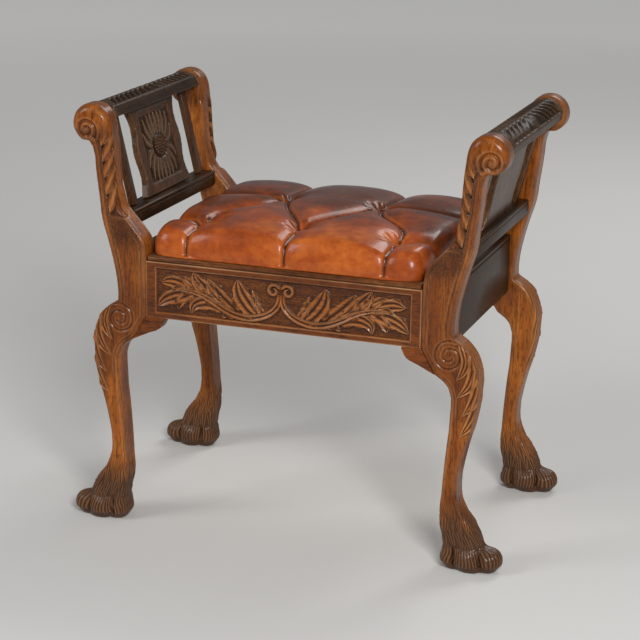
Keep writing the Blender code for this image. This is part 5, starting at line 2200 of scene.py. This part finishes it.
@dataclass
class Hinges:
    """Two brass butt hinges: CAD leaves and pins in tarnished brass, with screws in the leaves."""

    screw_radius: float = 0.0026
    screw_spacing: float = 0.017
    screw_inset: float = 0.007
    screw_sunk: float = 0.0008
    screw_proud: float = 0.0001

    def build(self) -> None:
        """Dress the leaves and pins, and set the screws."""
        for side in SIDES:
            for piece in ("fixed_leaf", "lid_leaf", "pin"):
                dress(bpy.data.objects[f"{side}_hinge_{piece}"], AGED_BRASS.material())
        self.add_screws("fixed_leaf", Body.FRAME, Vector((0.0, 0.0, 1.0)))
        self.add_screws("lid_leaf", Body.LID, Vector((0.0, 0.0, -1.0)))

    def add_screws(self, leaf: str, body: Body, facing: Vector) -> None:
        """Set three screws in each leaf of one kind.

        Args:
            leaf: The leaf's name after its side.
            body: The body that it rides on.
            facing: The way the heads face.
        """
        radius, below, above = self.screw_radius, -self.screw_sunk, self.screw_proud
        profile = ((0.0, below), (radius, below), (radius, above / 2), (radius / 2, above), (0.0, above))
        places = []
        for side in SIDES:
            low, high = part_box(f"{side}_hinge_{leaf}")
            middle = (low.x + high.x) / 2
            height = high.z if facing.z > 0.0 else low.z
            depth = low.y + self.screw_inset
            for step in (-1, 0, 1):
                places.append(Vector((middle + step * self.screw_spacing, depth, height)))
        shape = lathe(f"{leaf}_screw", profile, 16)
        screws = scatter(f"{leaf}_screws", places, [facing] * len(places), shape, AGED_BRASS.material())
        fit(screws, body, Slot.BRASS)


@dataclass
class Studio:
    """Pale floor, soft lights and the camera at the photograph's place."""

    azimuth: float = math.radians(19.278)
    elevation: float = math.radians(16.261)
    roll: float = math.radians(0.914)
    eye: Place = (1.0684, -3.0750, 1.2774)
    lens_pixels: float = 1991.3
    image: int = 640
    sensor: float = 36.0
    floor_half: float = 16.0
    surround: float = 0.24
    floor_colour: Colour = (0.62, 0.61, 0.59)
    far_glow: float = 0.42
    floor_rough: float = 0.8
    glow_run: Span = (0.9, 6.0)
    lamp_aim: Place = (0.0, 0.0, 0.4)
    lamps: tuple[tuple[str, Place, float, float], ...] = (
        ("front", (1.9, -3.1, 2.3), 1.2, 138.0),
        ("window", (-2.6, -2.2, 2.2), 1.4, 46.0),
        ("rear", (0.8, 2.6, 2.8), 1.6, 45.0),
    )

    def build(self) -> None:
        """Set the stage."""
        scene = bpy.context.scene
        scene.view_settings.view_transform = "Standard"
        self.add_floor()
        self.add_world(scene)
        for name, place, size, power in self.lamps:
            self.add_lamp(name, Vector(place), size, power)
        scene.camera = self.add_camera()

    def add_floor(self) -> None:
        """A pale floor with faint clouds in its colour."""
        bm = bmesh.new()
        bmesh.ops.create_grid(bm, x_segments=8, y_segments=8, size=self.floor_half)
        floor = add_object("floor", finished("floor", bm))
        graph = Graph("pale_floor")
        clouds = graph.noise(graph.coordinates, 1.3, 3.0)
        darker = tuple(0.94 * part for part in self.floor_colour)
        graph.paint("Base Color", graph.mix(clouds, self.floor_colour, darker))
        graph.paint("Roughness", self.floor_rough)
        graph.gloss(0.0, 0.1, 0.08)
        path = graph.add("LightPath")
        seen = graph.sum("MAXIMUM", path.outputs["Is Camera Ray"], path.outputs["Is Glossy Ray"])
        seen = graph.sum("MAXIMUM", seen, path.outputs["Is Transmission Ray"])
        reach = graph.add("VectorMath", {0: graph.coordinates}, operation="LENGTH").outputs["Value"]
        glow = graph.spread(reach, *self.glow_run, 0.0, self.far_glow)
        graph.paint("Emission Color", (*self.floor_colour, 1.0))
        graph.paint("Emission Strength", graph.scaled(seen, glow))
        dress(floor, graph.material)

    def add_world(self, scene: bpy.types.Scene) -> None:
        """A pale surround that lights softly.

        Args:
            scene: The scene that it is for.
        """
        world = bpy.data.worlds.new("studio")
        scene.world = world
        world.use_nodes = True
        shine = world.node_tree.nodes["Background"]
        shine.inputs["Color"].default_value = (0.95, 0.97, 1.0, 1.0)
        shine.inputs["Strength"].default_value = self.surround

    def add_lamp(self, name: str, place: Vector, size: float, power: float) -> None:
        """A square soft light aimed at the seat.

        Args:
            name: Name of the light.
            place: Where it stands.
            size: Its side.
            power: Its power in watts.
        """
        data = bpy.data.lights.new(name, "AREA")
        data.shape = "SQUARE"
        data.size = size
        data.energy = power
        lamp = add_object(name, data)
        lamp.location = place
        lamp.rotation_euler = (Vector(self.lamp_aim) - place).to_track_quat("-Z", "Y").to_euler()

    def add_camera(self) -> Item:
        """The camera at the photograph's place and turn.

        Returns:
            The camera object.
        """
        data = bpy.data.cameras.new("camera")
        data.sensor_width = self.sensor
        data.lens = self.lens_pixels / self.image * self.sensor
        camera = add_object("camera", data)
        flat = math.cos(self.elevation)
        sideways, ahead = math.sin(self.azimuth), math.cos(self.azimuth)
        back = Vector((sideways * flat, -ahead * flat, math.sin(self.elevation)))
        right = Vector((ahead, sideways, 0.0))
        above = back.cross(right)
        across = right * math.cos(self.roll) + above * math.sin(self.roll)
        upward = above * math.cos(self.roll) - right * math.sin(self.roll)
        turn = Matrix((across, upward, back)).transposed().to_4x4()
        camera.matrix_world = Matrix.Translation(self.eye) @ turn
        return camera


def main() -> None:
    """Load the frame and build every sub-assembly."""
    logging.basicConfig(level=logging.INFO, format="%(name)s: %(message)s")
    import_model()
    woodwork = (LegPosts(), CarvedAprons(), ArmSides(), PlainWoodwork())
    for part in (*woodwork, ButtonedSeat(), Hinges(), Studio()):
        LOG.info("building %s", type(part).__name__)
        part.build()


if __name__ == "__main__":
    main()
